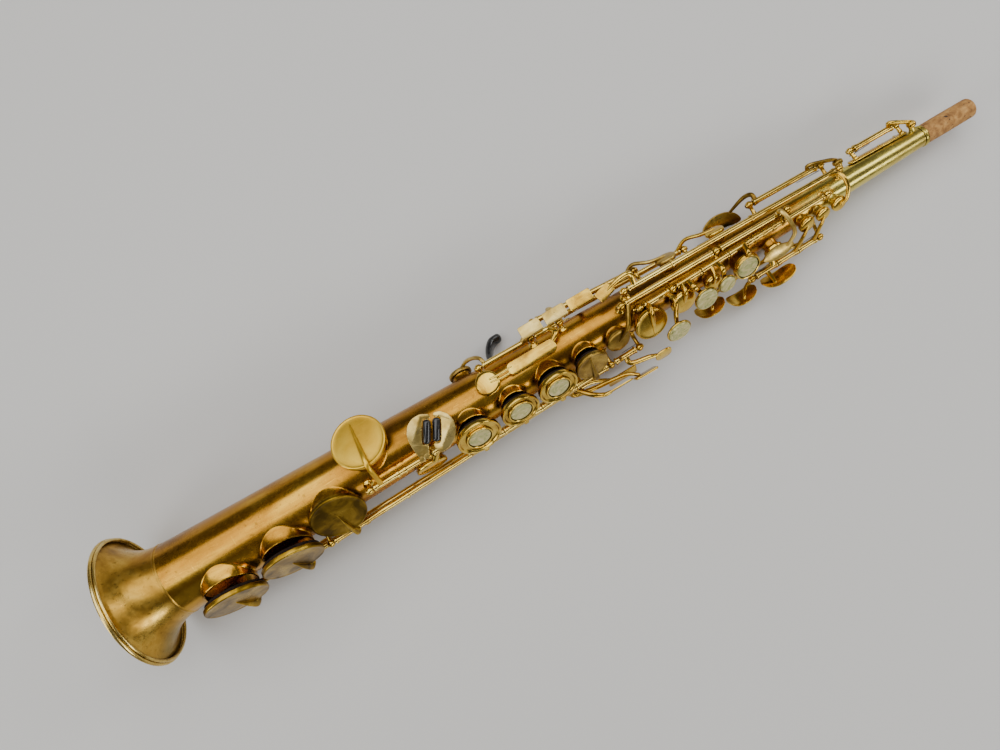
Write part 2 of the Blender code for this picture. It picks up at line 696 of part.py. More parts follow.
def side_touches(name):
    """The plates for the side of the right hand, and the arms that carry them."""
    if name == "e_flat_trill_key":
        arm = bar([on_rod("fork_trill_rod", 294), across(298, 20, 18.0)], [1.6, 1.3])
        return [arm, flat_touch(302.5, 21.4, 18.5, 15, 8.6, tilt=-6)]
    if name == "side_b_flat_key":
        arm = bar([on_rod("side_b_flat_rod", 320), across(320, 26.4, 8), across(320.5, 23.5, 18.0)],
                  [1.6, 1.4, 1.2])
        return [arm, flat_touch(320.5, 21.4, 18.2, 15.6, 8.6, tilt=-6)]
    if name == "side_c_key":
        arm = bar([on_rod("side_c_rod", 338), across(338, 19.0, 2), across(338.5, 20, 18.3)], [1.5, 1.2, 1.2])
        return [arm, flat_touch(338.8, 21.2, 18.2, 17, 8.4, tilt=-6)]
    arm = bar([on_rod("high_e_rod", 374), across(374, 19.5, 19.5), across(366, 20.0, 20.0),
               across(356, 17.5, 19.5)], [1.7, 1.5, 1.4, 1.2])
    return [arm, flat_touch(354, 17.2, 19.8, 13, 7.5, tilt=-6, turn=16)]


def fork_e_flat_extras():
    """The long bar touch, and the arms from the hinge to it and from it to the cup."""
    hinge = on_rod("fork_trill_rod", 313)
    arm = bar([hinge, across(315, 11.5, 18.5), across(308, 6.5, 21.0)], [1.6, 1.5, 1.3])
    touch = flat_touch(294, 5.6, 21.2, 34, 8.4, tilt=-8, corner=3, thickness=2.2)
    reach = bar([across(279, 5.6, 21.6), at(262, -15, cup_base(KEY["fork_e_flat_key"]) + 2.4)], [1.3, 1.2])
    return [arm, touch, reach]


def palm_touches(name):
    """The curved touches for the left palm."""
    if name == "palm_d_key":
        arm = bar([on_rod("palm_rod", 461), across(463, -34.4, -6)], [1.7, 1.4])
        return [arm, bent_plate(454, 480, -31.5, -6, 3.6, 12, lean=50)]
    if name == "palm_e_flat_key":
        arm = bar([on_rod("palm_rod", 476), across(470, -23.5, -16.0), across(450, -27, -17.0),
                   across(442, -34.0, -13)], [1.6, 1.4, 1.3, 1.3])
        return [arm, bent_plate(430, 452, -30.5, -12, 4.2, 12, lean=50)]
    arm = bar([on_rod("palm_rod", 493), across(487, -20, -17.0), across(434, -20, -21.5),
               across(419, -29.0, -13)], [1.6, 1.4, 1.3, 1.3])
    return [arm, bent_plate(407, 429, -26.5, -12, 3.8, 12, lean=50)]


def front_f_extras():
    """The leaf-shaped touch and the arm that reaches over the upper stack's rod."""
    leaf = [(-11.5, -0.5), (-8, -3.4), (-1, -4.8), (5.5, -4.2), (11, -1.0), (10.5, 1.4), (4, 3.8), (-2, 4.3),
            (-8, 2.8)]
    place = Matrix.Translation(at(466, 50, 22.0)) @ facing(radial(28))
    touch = plate(leaf, TOUCH_THICKNESS, place)
    arm = bar([on_rod("g_sharp_rod", 477), at(477.5, -13, 21.5), at(479, 6, 22.0), at(479, 30, 23.0),
               at(473, 48, 22.2)], [1.5, 1.3, 1.2, 1.1, 1.1])
    return [touch, arm]


def octave_thumb_extras():
    """The broad curved touch for the left thumb, and its arm."""
    touch = flat_touch(455, 18.8, -15.5, 30, 13, tilt=15, corner=6, thickness=1.6)
    arm = bar([on_rod("octave_rod", 477), at(477, -93, 24), across(473, 25, -7.0), across(464, 21.5, -14.8)],
              [1.6, 1.5, 1.4, 1.3])
    return [touch, arm]


def extras(key):
    """Everything on the key besides its hinge tube, its cup and the cup's arm."""
    found = []
    if key.name in SIDE_PEARLS:
        found += pearl_holder(key)
    if key.name == "low_c_key":
        found += low_c_touch()
    if key.name == "low_e_flat_key":
        found += low_e_flat_touch()
    if key.name in ("low_c_sharp_key", "low_b_key", "low_b_flat_key", "g_sharp_lever"):
        found += little_finger_touches(key.name)
    if key.name in ("e_flat_trill_key", "side_b_flat_key", "side_c_key", "high_e_key"):
        found += side_touches(key.name)
    if key.name == "fork_e_flat_key":
        found += fork_e_flat_extras()
    if key.name.startswith("palm_"):
        found += palm_touches(key.name)
    if key.name == "front_f_key":
        found += front_f_extras()
    if key.name == "octave_thumb_key":
        found += octave_thumb_extras()
    return found


KEY_FINISH = {
    "low_b_flat_key": OLIVE_BRASS,
    "low_b_key": OLIVE_BRASS,
    "low_c_sharp_key": OLIVE_BRASS,
    "low_c_key": BRIGHT_BRASS,
    "low_e_flat_key": BRIGHT_BRASS,
    "e_flat_trill_key": NICKEL,
    "side_b_flat_key": NICKEL,
    "front_f_key": NICKEL,
}


def make_key(key):
    first, last = on_rod(key.rod, key.tube[0]), on_rod(key.rod, key.tube[1])
    along = rod_direction(key.rod)
    hinge = cylinder(first, last, HINGE_RADIUS, HINGE_SIDES)
    pieces = []
    if key.cup is not None:
        pieces.append(cup_object(key))
        if key.arm_u is not None:
            pieces.append(cup_arm(key))
    pieces += extras(key)
    made = combine(hinge, pieces, "UNION")
    bore = cylinder(first - along * MM, last + along * MM, ROD_BORE, BORE_SIDES)
    made = at_rest(key, combine(made, [bore], "DIFFERENCE"))
    finish_part(made, key.name, KEY_FINISH.get(key.name, BRASS), pivot=first)


def make_pearls():
    for key in KEYS:
        if key.pearl:
            u, angle, _ = key.cup
            radius = key.pearl
            base = at(u, angle, cup_base(key) + 1.6 + GAP)
        elif key.name in SIDE_PEARLS:
            (u, angle, rho), radius = SIDE_PEARLS[key.name]
            base = at(u, angle, rho + 0.9 + GAP)
        else:
            continue
        profile = [(0, 0), (radius, 0), (radius, PEARL_THICKNESS - 0.4), (radius - 0.8, PEARL_THICKNESS),
                   (0, PEARL_THICKNESS)]
        pearl = at_rest(key, turned(profile, base, radial(angle), 12))
        finish_part(pearl, key.name.replace("_key", "_pearl"), PEARL, pivot=on_rod(key.rod, key.tube[0]))


def make_pads():
    for name in ("low_b_flat_key", "low_b_key"):
        key = KEY[name]
        u, angle, radius = key.cup
        height = PAD_THICKNESS - GAP
        profile = [(0, 0), (radius - 1.6, 0), (radius - 1.0, 0.6), (radius - 1.0, height), (0, height)]
        pad = turned(profile, at(u, angle, chimney_top(key) + SEAT_GAP), radial(angle), 18)
        finish_part(at_rest(key, pad), name.replace("_key", "_pad"), PAD, pivot=on_rod(key.rod, key.tube[0]))


def make_rollers():
    for name, (owner, (u, y)) in ROLLERS.items():
        key = KEY[owner]
        turn = math.radians(ROLLER_TURN)
        half = Vector((math.cos(turn), math.sin(turn), 0)) * ROLLER_LENGTH / 2 * MM
        centre = across(u, y, HEART_Z)
        direction = half.normalized()
        profile = [(0, 0), (1.5, 0), (ROLLER_RADIUS, 1.4), (ROLLER_RADIUS, ROLLER_LENGTH - 1.4),
                   (1.5, ROLLER_LENGTH), (0, ROLLER_LENGTH)]
        roller = at_rest(key, turned(profile, centre - half, direction, 12))
        finish_part(roller, name, BLACK)


def main():
    make_bell()
    make_body()
    make_neck_end()
    make_saddle()
    make_back_fittings()
    make_rods()
    for key in KEYS:
        make_key(key)
    make_pearls()
    make_pads()
    make_rollers()


clear_scene()
PARTS = new_collection("soprano_saxophone")
WORK = new_collection("cutters")
main()
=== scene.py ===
"""The looks of the soprano saxophone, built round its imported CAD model.

Places are given as in the CAD: u is the distance from the bell face along the tube, angle is
degrees round the tube from straight up, positive towards -Y, and rho is the distance from the
tube's axis. Lengths in the tables are millimetres.
"""

import math
from dataclasses import dataclass

import bmesh
import bpy
from mathutils import Matrix, Vector


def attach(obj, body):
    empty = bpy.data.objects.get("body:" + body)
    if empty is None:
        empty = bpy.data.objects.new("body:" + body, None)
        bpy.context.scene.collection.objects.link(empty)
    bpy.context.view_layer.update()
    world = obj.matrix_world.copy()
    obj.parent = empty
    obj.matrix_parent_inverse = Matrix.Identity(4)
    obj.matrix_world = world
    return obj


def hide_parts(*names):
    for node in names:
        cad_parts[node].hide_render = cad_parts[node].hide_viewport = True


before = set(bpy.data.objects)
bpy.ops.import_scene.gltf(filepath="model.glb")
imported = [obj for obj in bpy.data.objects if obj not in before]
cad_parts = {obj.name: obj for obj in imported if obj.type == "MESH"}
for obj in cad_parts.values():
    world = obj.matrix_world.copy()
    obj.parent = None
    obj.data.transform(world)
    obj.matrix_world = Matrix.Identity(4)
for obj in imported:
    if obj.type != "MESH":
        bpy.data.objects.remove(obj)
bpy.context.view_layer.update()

MM = 0.001
LENGTH = 635.5
BELL_RADIUS = 44.5
CONE_RADIUS_AT_BELL = 24.95
CONE_TAPER = 0.0307
WALL = 1.0
FLARE_LENGTH = 42.0
FLARE_POWER = 3.8
SEAM_U = 29.5
TUBE_END_U = 594.3
RIM_BEAD = 2.0
FERRULE_RADIUS = 7.3
CORK_RADIUS = 6.9
CORK_BORE = 4.4
ROD_RADIUS = 1.0
HINGE_RADIUS = 2.1
POST_BALL = 2.6
NECK_POST_BALL = 2.3
CUP_THICKNESS = 3.2
CHIMNEY_WALL = 1.1
SEAT_GAP = 0.3
PAD_THICKNESS = 2.2
TOUCH_THICKNESS = 1.4
PEARL_THICKNESS = 1.7
GAP = 0.3
FRONT = 47.0
LOWER_STACK = 45.0
BACK = -133.0
HEART_Z = 29.0
ROLLER_TURN = 60
FERRULE_LENGTH = 2.6
SADDLE_ANGLE = -70
SADDLE_ENDS = (542, 587)
HOOK_U = 272
THUMB_REST_U = 461
THUMB_REST_ANGLE = -150
STRAP_RING_U = 330
STRAP_RING_ANGLE = BACK - 12

ROOT = "instrument"
AXIS = Vector((1, 0, 0))
# The way that a bar's height runs where nothing else is said
UPRIGHT = Vector((0.13, 0.21, 0.97))

# Hinge rods: start place, end place, and the stations of their posts
RODS = {
    "low_b_flat_rod": ((50, 113, 33.7), (318, 126, 31.6), (52, 316)),
    "low_b_rod": ((86, 100, 32.8), (318, 117, 29.8), (88, 316)),
    "low_c_sharp_rod": ((122, 87, 31.6), (318, 108, 27.9), (124, 316)),
    "c_e_flat_rod": ((164, 33, 26.2), (223, 33, 25.6), (166, 208, 221)),
    "lower_stack_rod": ((229, 88, 27.4), (362, 88, 24.7), (231, 338, 360)),
    "fork_trill_rod": ((260, -50, 21.8), (323, -50, 20.6), (262, 300, 321)),
    "side_b_flat_rod": ((306, -97, 25.4), (386, -104, 21.0), (308, 384)),
    "side_c_rod": ((324, -120, 22.4), (424, -123, 18.8), (326, 422)),
    "high_e_rod": ((364, -36, 19.9), (531, -36, 15.2), (366, 529)),
    "g_sharp_rod": ((357, -13, 19.9), (486, -13, 15.9), (359, 430, 484)),
    "upper_stack_rod": ((367, 9, 19.4), (514, 4, 15.6), (369, 393, 512)),
    "palm_rod": ((448, 102, 25.2), (506, 102, 24.0), (450, 504)),
    "octave_rod": ((470, -92, 18.8), (529, -92, 17.6), (472, 527)),
    "neck_octave_rod": ((546, -84, 15.6), (586, -84, 15.1), (548, 584)),
}


@dataclass
class Key:
    """One moving key, with the numbers that the CAD gives it."""

    name: str
    rod: str
    tube: tuple
    cup: tuple = None
    chimney: tuple = None
    swing: float = 6.0
    rests_open: bool = False
    arm_u: float = None
    arm: str = "rim"
    pearl: float = 0.0
    via: tuple = ()


KEYS = [
    Key("low_b_flat_key", "low_b_flat_rod", (55, 313), (60, 62, 20.3), (17.0, 3.0), 8, True, 65, "fin"),
    Key("low_b_key", "low_b_rod", (91, 313), (102, 60, 20.0), (16.4, 2.7), 8.5, True, 106.5, "fin"),
    Key("low_c_sharp_key", "low_c_sharp_rod", (127, 313), (140.5, 46, 18.2), (15.5, 2.0), 7, False, 143.5,
        "fin"),
    Key("low_c_key", "c_e_flat_rod", (169, 205), (175.5, -35.5, 17.7), (15.0, 2.5), 9, True, 174, "over"),
    Key("low_e_flat_key", "c_e_flat_rod", (211, 218), (205, 75.5, 10.9), (9.6, 1.7), 3, False, 214, "rim"),
    Key("d_key", "lower_stack_rod", (234, 255.5), (240.5, LOWER_STACK, 14.9), (11.0, 3.3), 8, True, 240.5,
        pearl=7.7),
    Key("e_key", "lower_stack_rod", (256, 284.5), (271, LOWER_STACK, 13.0), (9.5, 3.3), 8, True, 271,
        pearl=7.4),
    Key("f_key", "lower_stack_rod", (285, 310.5), (299, LOWER_STACK, 13.5), (10.4, 3.3), 8, True, 299,
        pearl=7.4),
    Key("f_sharp_key", "lower_stack_rod", (311, 335), (324.5, LOWER_STACK, 11.3), (8.8, 3.3), 8, True, 324.5,
        "over"),
    Key("g_sharp_lever", "lower_stack_rod", (341, 357), swing=5),
    Key("g_sharp_key", "g_sharp_rod", (362, 427), (348, FRONT, 8.5), (6.8, 2.0), 5, False, 364, "over"),
    Key("g_key", "upper_stack_rod", (372, 390), (371, 44, 11.5), (8.8, 5.7), 6, False, 374, "over"),
    Key("a_key", "upper_stack_rod", (396, 414.5), (397, FRONT, 9.0), (7.0, 3.5), 6, False, 400, "over"),
    Key("bis_key", "upper_stack_rod", (415, 435.5), (420, FRONT, 6.2), (4.7, 3.5), 6, False, 422, "over"),
    Key("b_key", "upper_stack_rod", (436, 509), (443.7, FRONT, 9.5), (7.4, 6.7), 6, False, 447.5, pearl=7.6),
    Key("front_f_key", "g_sharp_rod", (433, 481), swing=4),
    Key("fork_e_flat_key", "fork_trill_rod", (303, 318), (262, -15, 8.0), (6.0, 3.0), 4),
    Key("e_flat_trill_key", "fork_trill_rod", (265, 297), (250, -112, 8.0), (6.2, 2.5), 5, False, 267,
        via=((265, -62, 25.5), (258, -90, 25.0))),
    Key("side_b_flat_key", "side_b_flat_rod", (311, 381), (403, -70, 7.2), (5.4, 3.2), 5, False, 378,
        via=((384, -92, 24.2), (393, -76, 20.4))),
    Key("side_c_key", "side_c_rod", (329, 419), (440, -70, 6.5), (4.9, 3.2), 5, False, 416,
        via=((424, -104, 21.4), (433, -84, 18.2))),
    Key("high_e_key", "high_e_rod", (369, 526), (519, FRONT, 5.3), (3.9, 3.4), 5, False, 522,
        via=((525, -18, 18.8), (525.5, 10, 18.2), (523, 36, 17.0))),
    Key("palm_d_key", "palm_rod", (453, 469.5), (468, 70, 6.5), (4.9, 3.4), 5, False, 467, "rim"),
    Key("palm_e_flat_key", "palm_rod", (470, 486), (493.5, 50, 5.6), (4.2, 3.4), 5, False, 484, "over"),
    Key("palm_f_key", "palm_rod", (486.5, 501), (506.5, 50, 5.0), (3.8, 3.4), 5, False, 499, "over"),
    Key("octave_thumb_key", "octave_rod", (475, 523.5), (536, -76, 3.4), (2.2, 3.6), 6, False, 518,
        via=((518, -82, 21.4), (531, -76, 17.8))),
    Key("neck_octave_key", "neck_octave_rod", (551, 581), (590.5, -60, 3.0), (1.9, 3.4), 6, False, 579,
        via=((578, -72, 19.2), (587, -62, 15.0))),
]
KEY = {key.name: key for key in KEYS}

# Finger pearls that stand beside their cups: place of the centre, and radius
SIDE_PEARLS = {
    "g_key": ((382.7, 54, 33.0), 7.7),
    "a_key": ((409, FRONT, 25.0), 7.5),
    "bis_key": ((425.8, FRONT, 23.2), 5.6),
}
# Where the arms of those pearls leave the hinge tube
PEARL_ARMS = {"g_key": 388, "a_key": 404, "bis_key": 426}
# Keys whose arm over the cup's top ends near the cup's edge
SHORT_ARMS = ("g_key", "low_c_key", "f_sharp_key")
ROLLERS = {
    "low_c_roller": ("low_c_key", (214.9, 0.6)),
    "low_e_flat_roller": ("low_e_flat_key", (220.6, -2.7)),
}
ROLLER_RADIUS = 2.5
ROLLER_LENGTH = 14.6


# Places along and round the tube


def cone_radius(u):
    return CONE_RADIUS_AT_BELL - CONE_TAPER * u


def outer_radius(u):
    rise = BELL_RADIUS - RIM_BEAD - CONE_RADIUS_AT_BELL
    return cone_radius(u) + rise * max(0.0, 1 - u / FLARE_LENGTH) ** FLARE_POWER


def radial(angle):
    turn = math.radians(angle)
    return Vector((0, -math.sin(turn), math.cos(turn)))


def tangent(angle):
    turn = math.radians(angle)
    return Vector((0, -math.cos(turn), -math.sin(turn)))


def at(u, angle, rho):
    axis_point = Vector((u - LENGTH / 2, 0, BELL_RADIUS))
    return (axis_point + radial(angle) * rho) * MM


def across(u, y, z):
    return Vector((u - LENGTH / 2, y, z + BELL_RADIUS)) * MM


def on_rod(rod, u):
    start, end = at(*RODS[rod][0]), at(*RODS[rod][1])
    share = (u - RODS[rod][0][0]) / (RODS[rod][1][0] - RODS[rod][0][0])
    return start.lerp(end, share)


def rod_direction(rod):
    return (at(*RODS[rod][1]) - at(*RODS[rod][0])).normalized()


def facing(direction):
    up = direction.normalized()
    side = Vector((1, 0, 0)) - up * up.x
    if side.length < 0.01:
        side = Vector((0, 1, 0)) - up * up.y
    side.normalize()
    return Matrix((side, up.cross(side), up)).transposed().to_4x4()


def chimney_top(key):
    return cone_radius(key.cup[0]) + key.chimney[1]


def cup_base(key):
    pad = PAD_THICKNESS if key.rests_open else 0.0
    return chimney_top(key) + SEAT_GAP + pad


def opening_sign(key):
    if key.cup is None:
        return 1 if key.name == "g_sharp_lever" else -1
    u, angle, _ = key.cup
    lever = at(u, angle, cup_base(key)) - on_rod(key.rod, u)
    return 1 if rod_direction(key.rod).cross(lever).dot(radial(angle)) > 0 else -1


def rest_turn(key):
    """The turn from the shut place to where the key rests."""
    if not key.rests_open:
        return Matrix.Identity(4)
    pivot = on_rod(key.rod, key.tube[0])
    turn = Matrix.Rotation(math.radians(key.swing) * opening_sign(key), 4, rod_direction(key.rod))
    return Matrix.Translation(pivot) @ turn @ Matrix.Translation(-pivot)


# Mesh building


def smooth_path(points, radii):
    """The points and radii of a Catmull-Rom curve through the given ones."""
    steps = 5
    if len(points) == 2:
        return list(points), list(radii)
    padded = [points[0] * 2 - points[1], *points, points[-1] * 2 - points[-2]]
    path = []
    sizes = []
    for i in range(1, len(padded) - 2):
        p0, p1, p2, p3 = padded[i - 1 : i + 3]
        for step in range(steps):
            t = step / steps
            spot = (p1 * 2 + (p2 - p0) * t + (p0 * 2 - p1 * 5 + p2 * 4 - p3) * t * t
                    + (p1 * 3 - p0 - p2 * 3 + p3) * t ** 3) / 2
            path.append(spot)
            sizes.append(radii[i - 1] + (radii[i] - radii[i - 1]) * t)
    path.append(points[-1])
    sizes.append(radii[-1])
    return path, sizes


def corner_arc(start, corner, end, steps, count):
    """The first points of a curve from start to end that is drawn towards the corner."""
    shares = [step / steps for step in range(count)]
    return [start * (1 - t) ** 2 + corner * 2 * t * (1 - t) + end * t * t for t in shares]


def corners_of(outline):
    """Each point of a closed outline, between its two neighbours."""
    count = len(outline)
    return [[Vector(outline[(i + k) % count]) for k in (-1, 0, 1)] for i in range(count)]


def smooth_outline(outline):
    """A closed outline with round corners through the middle of each of its sides."""
    steps = 4
    path = []
    for a, b, c in corners_of(outline):
        path += corner_arc((a + b) / 2, b, (b + c) / 2, steps, steps)
    return path


def soft_corners(outline):
    """A closed outline with each corner rounded off near its point."""
    share, steps = 0.3, 3
    path = []
    for a, b, c in corners_of(outline):
        path += corner_arc(b.lerp(a, share), b, b.lerp(c, share), steps, steps + 1)
    return path


def circle(steps):
    """The (cosine, sine) pairs of evenly spaced turns."""
    turns = [2 * math.pi * i / steps for i in range(steps)]
    return [(math.cos(a), math.sin(a)) for a in turns]


def squared(value, power):
    """Pushes a cosine or a sine outwards, which squares up the circle that it belongs to."""
    return math.copysign(abs(value) ** power, value)


class Shape:
    """A mesh put together from turned, drawn and cut-out pieces, in metres."""

    def __init__(self):
        self.mesh = bmesh.new()

    def skin(self, rings, close=False):
        """Faces between rings of points. A ring of one point is a tip, and open ends are filled."""
        made = [[self.mesh.verts.new(p) for p in ring] for ring in rings]
        pairs = list(zip(made, made[1:]))
        if close:
            pairs.append((made[-1], made[0]))
        for low, high in pairs:
            count = max(len(low), len(high))
            for i in range(count):
                j = (i + 1) % count
                corners = [low[i % len(low)], low[j % len(low)], high[j % len(high)], high[i % len(high)]]
                corners = list(dict.fromkeys(corners))
                if len(corners) > 2:
                    self.mesh.faces.new(corners)
        if not close:
            for ring, order in ((made[0], -1), (made[-1], 1)):
                if len(ring) > 2:
                    self.mesh.faces.new(ring[::order])
        return self

    def turned(self, profile, base, direction, steps=40, close=False):
        """A profile of (radius, height) points turned round the direction, from the base point."""
        place = Matrix.Translation(base) @ facing(direction)
        rings = []
        for r, h in profile:
            if r < 1e-6:
                rings.append([place @ Vector((0, 0, h * MM))])
                continue
            rings.append([place @ (Vector((r * c, r * s, h)) * MM) for c, s in circle(steps)])
        return self.skin(rings, close)

    def hoop(self, profile, steps):
        """A hollow shape turned round the instrument's own axis, of (radius, u) points."""
        return self.turned(profile, at(0, 0, 0), AXIS, steps, close=True)

    def ball(self, centre, radius, axis, flat):
        """A ball with its two ends along the axis cut flat, by that share of its radius."""
        limit = 1 - flat
        profile = []
        for i in range(13):
            s = math.sin(math.pi * (i / 12 - 0.5))
            h = max(-limit, min(limit, s))
            profile.append((radius * math.sqrt(max(0.0, 1 - s * s)), radius * h))
        return self.turned(profile, centre, axis, 20)

    def bar(self, points, radii, sides=14, width=1.0, up=UPRIGHT, square=2.0, tips=True):
        """A bent bar through the points. Its height is along up, and its width a share of that."""
        path, sizes = smooth_path(points, radii)
        rings = []
        for i, (spot, size) in enumerate(zip(path, sizes)):
            ahead = (path[min(i + 1, len(path) - 1)] - path[max(i - 1, 0)]).normalized()
            side = ahead.cross(up)
            if side.length < 0.1:
                side = ahead.cross(Vector((0, 1, 0.2)))
            side.normalize()
            tall = side.cross(ahead).normalized()
            ring = []
            for c, s in circle(sides):
                c, s = squared(c, 2 / square), squared(s, 2 / square)
                ring.append(spot + (side * c * width + tall * s) * size * MM)
            rings.append((spot, ahead, size, ring))
        loops = [ring for *_, ring in rings]
        if tips:
            for index, sign in ((0, -1), (-1, 1)):
                spot, ahead, size, ring = rings[index]
                reach = ahead * sign * size * MM * min(width, 1.0)
                caps = []
                for grow, out in ((0.86, 0.45), (0.5, 0.8)):
                    caps.append([spot + (p - spot) * grow + reach * out for p in ring])
                caps.append([spot + reach * 0.95])
                loops = caps[::-1] + loops if sign < 0 else loops + caps
        return self.skin(loops)

    def plate(self, outline, thickness, place, crown=0.0, edge=0.35):
        """A flat outline of (x, y) points made a plate with rounded edges and a raised middle."""
        path = [Vector(p) for p in outline]
        centre = sum(path, Vector((0, 0))) / len(path)
        area = sum(p.cross(q) for p, q in zip(path, path[1:] + path[:1]))
        turn = 1 if area > 0 else -1

        def loop(inset, z, scale=1.0):
            ring = []
            count = len(path)
            for i, p in enumerate(path):
                way = (path[(i + 1) % count] - path[i - 1]).normalized()
                inward = Vector((-way.y, way.x)) * turn
                q = centre + (p + inward * inset - centre) * scale
                ring.append(place @ (Vector((q.x, q.y, z)) * MM))
            return ring

        half = thickness / 2
        edge = min(edge, half * 0.9)
        rings = [loop(edge, -half), loop(edge * 0.3, -half + edge * 0.3), loop(0, -half + edge),
                 loop(0, half - edge), loop(edge * 0.3, half - edge * 0.3), loop(edge, half)]
        if crown:
            for scale in (0.93, 0.8, 0.6, 0.35, 0.12):
                rings.append(loop(edge, half + crown * (1 - scale ** 2.2), scale))
        return self.skin(rings)

    def grow(self, matrix):
        self.mesh.transform(matrix)
        return self


def rounded_box(length, width, corner):
    """The outline of a rectangle with round corners, about its middle."""
    arc_steps = 5
    outline = []
    for quarter, (sx, sy) in enumerate(((1, 1), (-1, 1), (-1, -1), (1, -1))):
        for step in range(arc_steps + 1):
            turn = math.radians(90 * (quarter + step / arc_steps))
            x = sx * (length / 2 - corner) + corner * math.cos(turn)
            y = sy * (width / 2 - corner) + corner * math.sin(turn)
            outline.append((x, y))
    return outline


def piece(name, shape, finish, body=ROOT, replaces=(), sharp=38):
    """Makes the shape an object with its material, on its body, in place of its CAD nodes."""
    mesh = bpy.data.meshes.new(name)
    bmesh.ops.recalc_face_normals(shape.mesh, faces=shape.mesh.faces)
    shape.mesh.to_mesh(mesh)
    shape.mesh.free()
    mesh.materials.append(finish)
    mesh.shade_smooth()
    mesh.set_sharp_from_angle(angle=math.radians(sharp))
    obj = bpy.data.objects.new(name, mesh)
    bpy.context.scene.collection.objects.link(obj)
    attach(obj, body)
    if replaces:
        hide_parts(*replaces)
    return obj


# Materials


class Paint:
    """The nodes of one procedural material. Its places are the object's own, in metres."""

    def __init__(self, name):
        self.material = bpy.data.materials.new(name)
        self.material.use_nodes = True
        self.nodes = self.material.node_tree.nodes
        self.links = self.material.node_tree.links
        self.shader = self.nodes["Principled BSDF"]
        self.place = self.nodes.new("ShaderNodeTexCoord").outputs["Object"]

    def plug(self, value, socket):
        if isinstance(value, bpy.types.NodeSocket):
            self.links.new(value, socket)
        else:
            socket.default_value = (*value, 1) if isinstance(value, tuple) and len(value) == 3 else value

    def noise(self, scale, detail=4.0, distortion=0.0, stretch=(1, 1, 1)):
        mapping = self.nodes.new("ShaderNodeMapping")
        mapping.inputs["Scale"].default_value = stretch
        self.links.new(self.place, mapping.inputs["Vector"])
        made = self.nodes.new("ShaderNodeTexNoise")
        made.inputs["Scale"].default_value = scale
        made.inputs["Detail"].default_value = detail
        made.inputs["Roughness"].default_value = 0.55
        made.inputs["Distortion"].default_value = distortion
        self.links.new(mapping.outputs["Vector"], made.inputs["Vector"])
        return made.outputs["Fac"]

    def ramp(self, factor, stops):
        """A colour ramp of (place, colour) stops."""
        made = self.nodes.new("ShaderNodeValToRGB")
        elements = made.color_ramp.elements
        while len(elements) < len(stops):
            elements.new(0.5)
        for element, (spot, colour) in zip(elements, stops):
            element.position = spot
            element.color = (*colour, 1)
        self.plug(factor, made.inputs["Fac"])
        return made.outputs["Color"]

    def between(self, value, low, high, to_low=0.0, to_high=1.0):
        """The value's share of the way from low to high, kept within them."""
        made = self.nodes.new("ShaderNodeMapRange")
        self.plug(value, made.inputs["Value"])
        limits = {"From Min": low, "From Max": high, "To Min": to_low, "To Max": to_high}
        for socket, number in limits.items():
            made.inputs[socket].default_value = number
        return made.outputs["Result"]

    def maths(self, operation, a, b=0.0):
        made = self.nodes.new("ShaderNodeMath")
        made.operation = operation
        made.use_clamp = True
        self.plug(a, made.inputs[0])
        self.plug(b, made.inputs[1])
        return made.outputs["Value"]

    def times(self, a, b):
        return self.maths("MULTIPLY", a, b)

    def mix(self, factor, a, b):
        made = self.nodes.new("ShaderNodeMix")
        made.data_type = "RGBA"
        self.plug(factor, made.inputs["Factor"])
        self.plug(a, made.inputs[6])
        self.plug(b, made.inputs[7])
        return made.outputs[2]

    def corners(self, radius):
        """Near 1 where the surface turns sharply within the radius."""
        bevel = self.nodes.new("ShaderNodeBevel")
        bevel.samples = 4
        bevel.inputs["Radius"].default_value = radius * MM
        dot = self.nodes.new("ShaderNodeVectorMath")
        dot.operation = "DOT_PRODUCT"
        geometry = self.nodes.new("ShaderNodeNewGeometry")
        self.links.new(bevel.outputs["Normal"], dot.inputs[0])
        self.links.new(geometry.outputs["Normal"], dot.inputs[1])
        return self.between(dot.outputs["Value"], 0.995, 0.90)

    def crevice_shade_and_dirt(self, reach):
        """Near 1 in corners and crevices, found by ambient occlusion: where painted shade and dirt go."""
        made = self.nodes.new("ShaderNodeAmbientOcclusion")
        made.samples = 6
        made.inputs["Distance"].default_value = reach * MM
        return self.between(made.outputs["AO"], 0.85, 0.25)

    def along(self, start, end):
        """0 before the start and 1 past the end, measured along the tube."""
        parts = self.nodes.new("ShaderNodeSeparateXYZ")
        self.links.new(self.place, parts.inputs["Vector"])
        return self.between(parts.outputs["X"], start, end)

    def near(self, spot, reach):
        """A blotch with a ragged edge round a place, 1 in its middle."""
        distance = self.nodes.new("ShaderNodeVectorMath")
        distance.operation = "DISTANCE"
        self.links.new(self.place, distance.inputs[0])
        distance.inputs[1].default_value = spot
        share = self.between(distance.outputs["Value"], reach * MM, reach * MM * 0.25)
        return self.between(self.times(share, self.noise(95, 6, 0.8)), 0.1, 0.55, 0.0, 0.7)

    def bump(self, height, depth, strength=0.5):
        made = self.nodes.new("ShaderNodeBump")
        made.inputs["Strength"].default_value = strength
        made.inputs["Distance"].default_value = depth * MM
        self.links.new(height, made.inputs["Height"])
        self.links.new(made.outputs["Normal"], self.shader.inputs["Normal"])

    def finish(self, colour, roughness, metallic=0.0, coat=0.0):
        self.plug(colour, self.shader.inputs["Base Color"])
        self.plug(roughness, self.shader.inputs["Roughness"])
        self.shader.inputs["Metallic"].default_value = metallic
        self.shader.inputs["Coat Weight"].default_value = coat
        return self.material


def brighter(colour, times):
    return tuple(min(1.0, c * times) for c in colour)


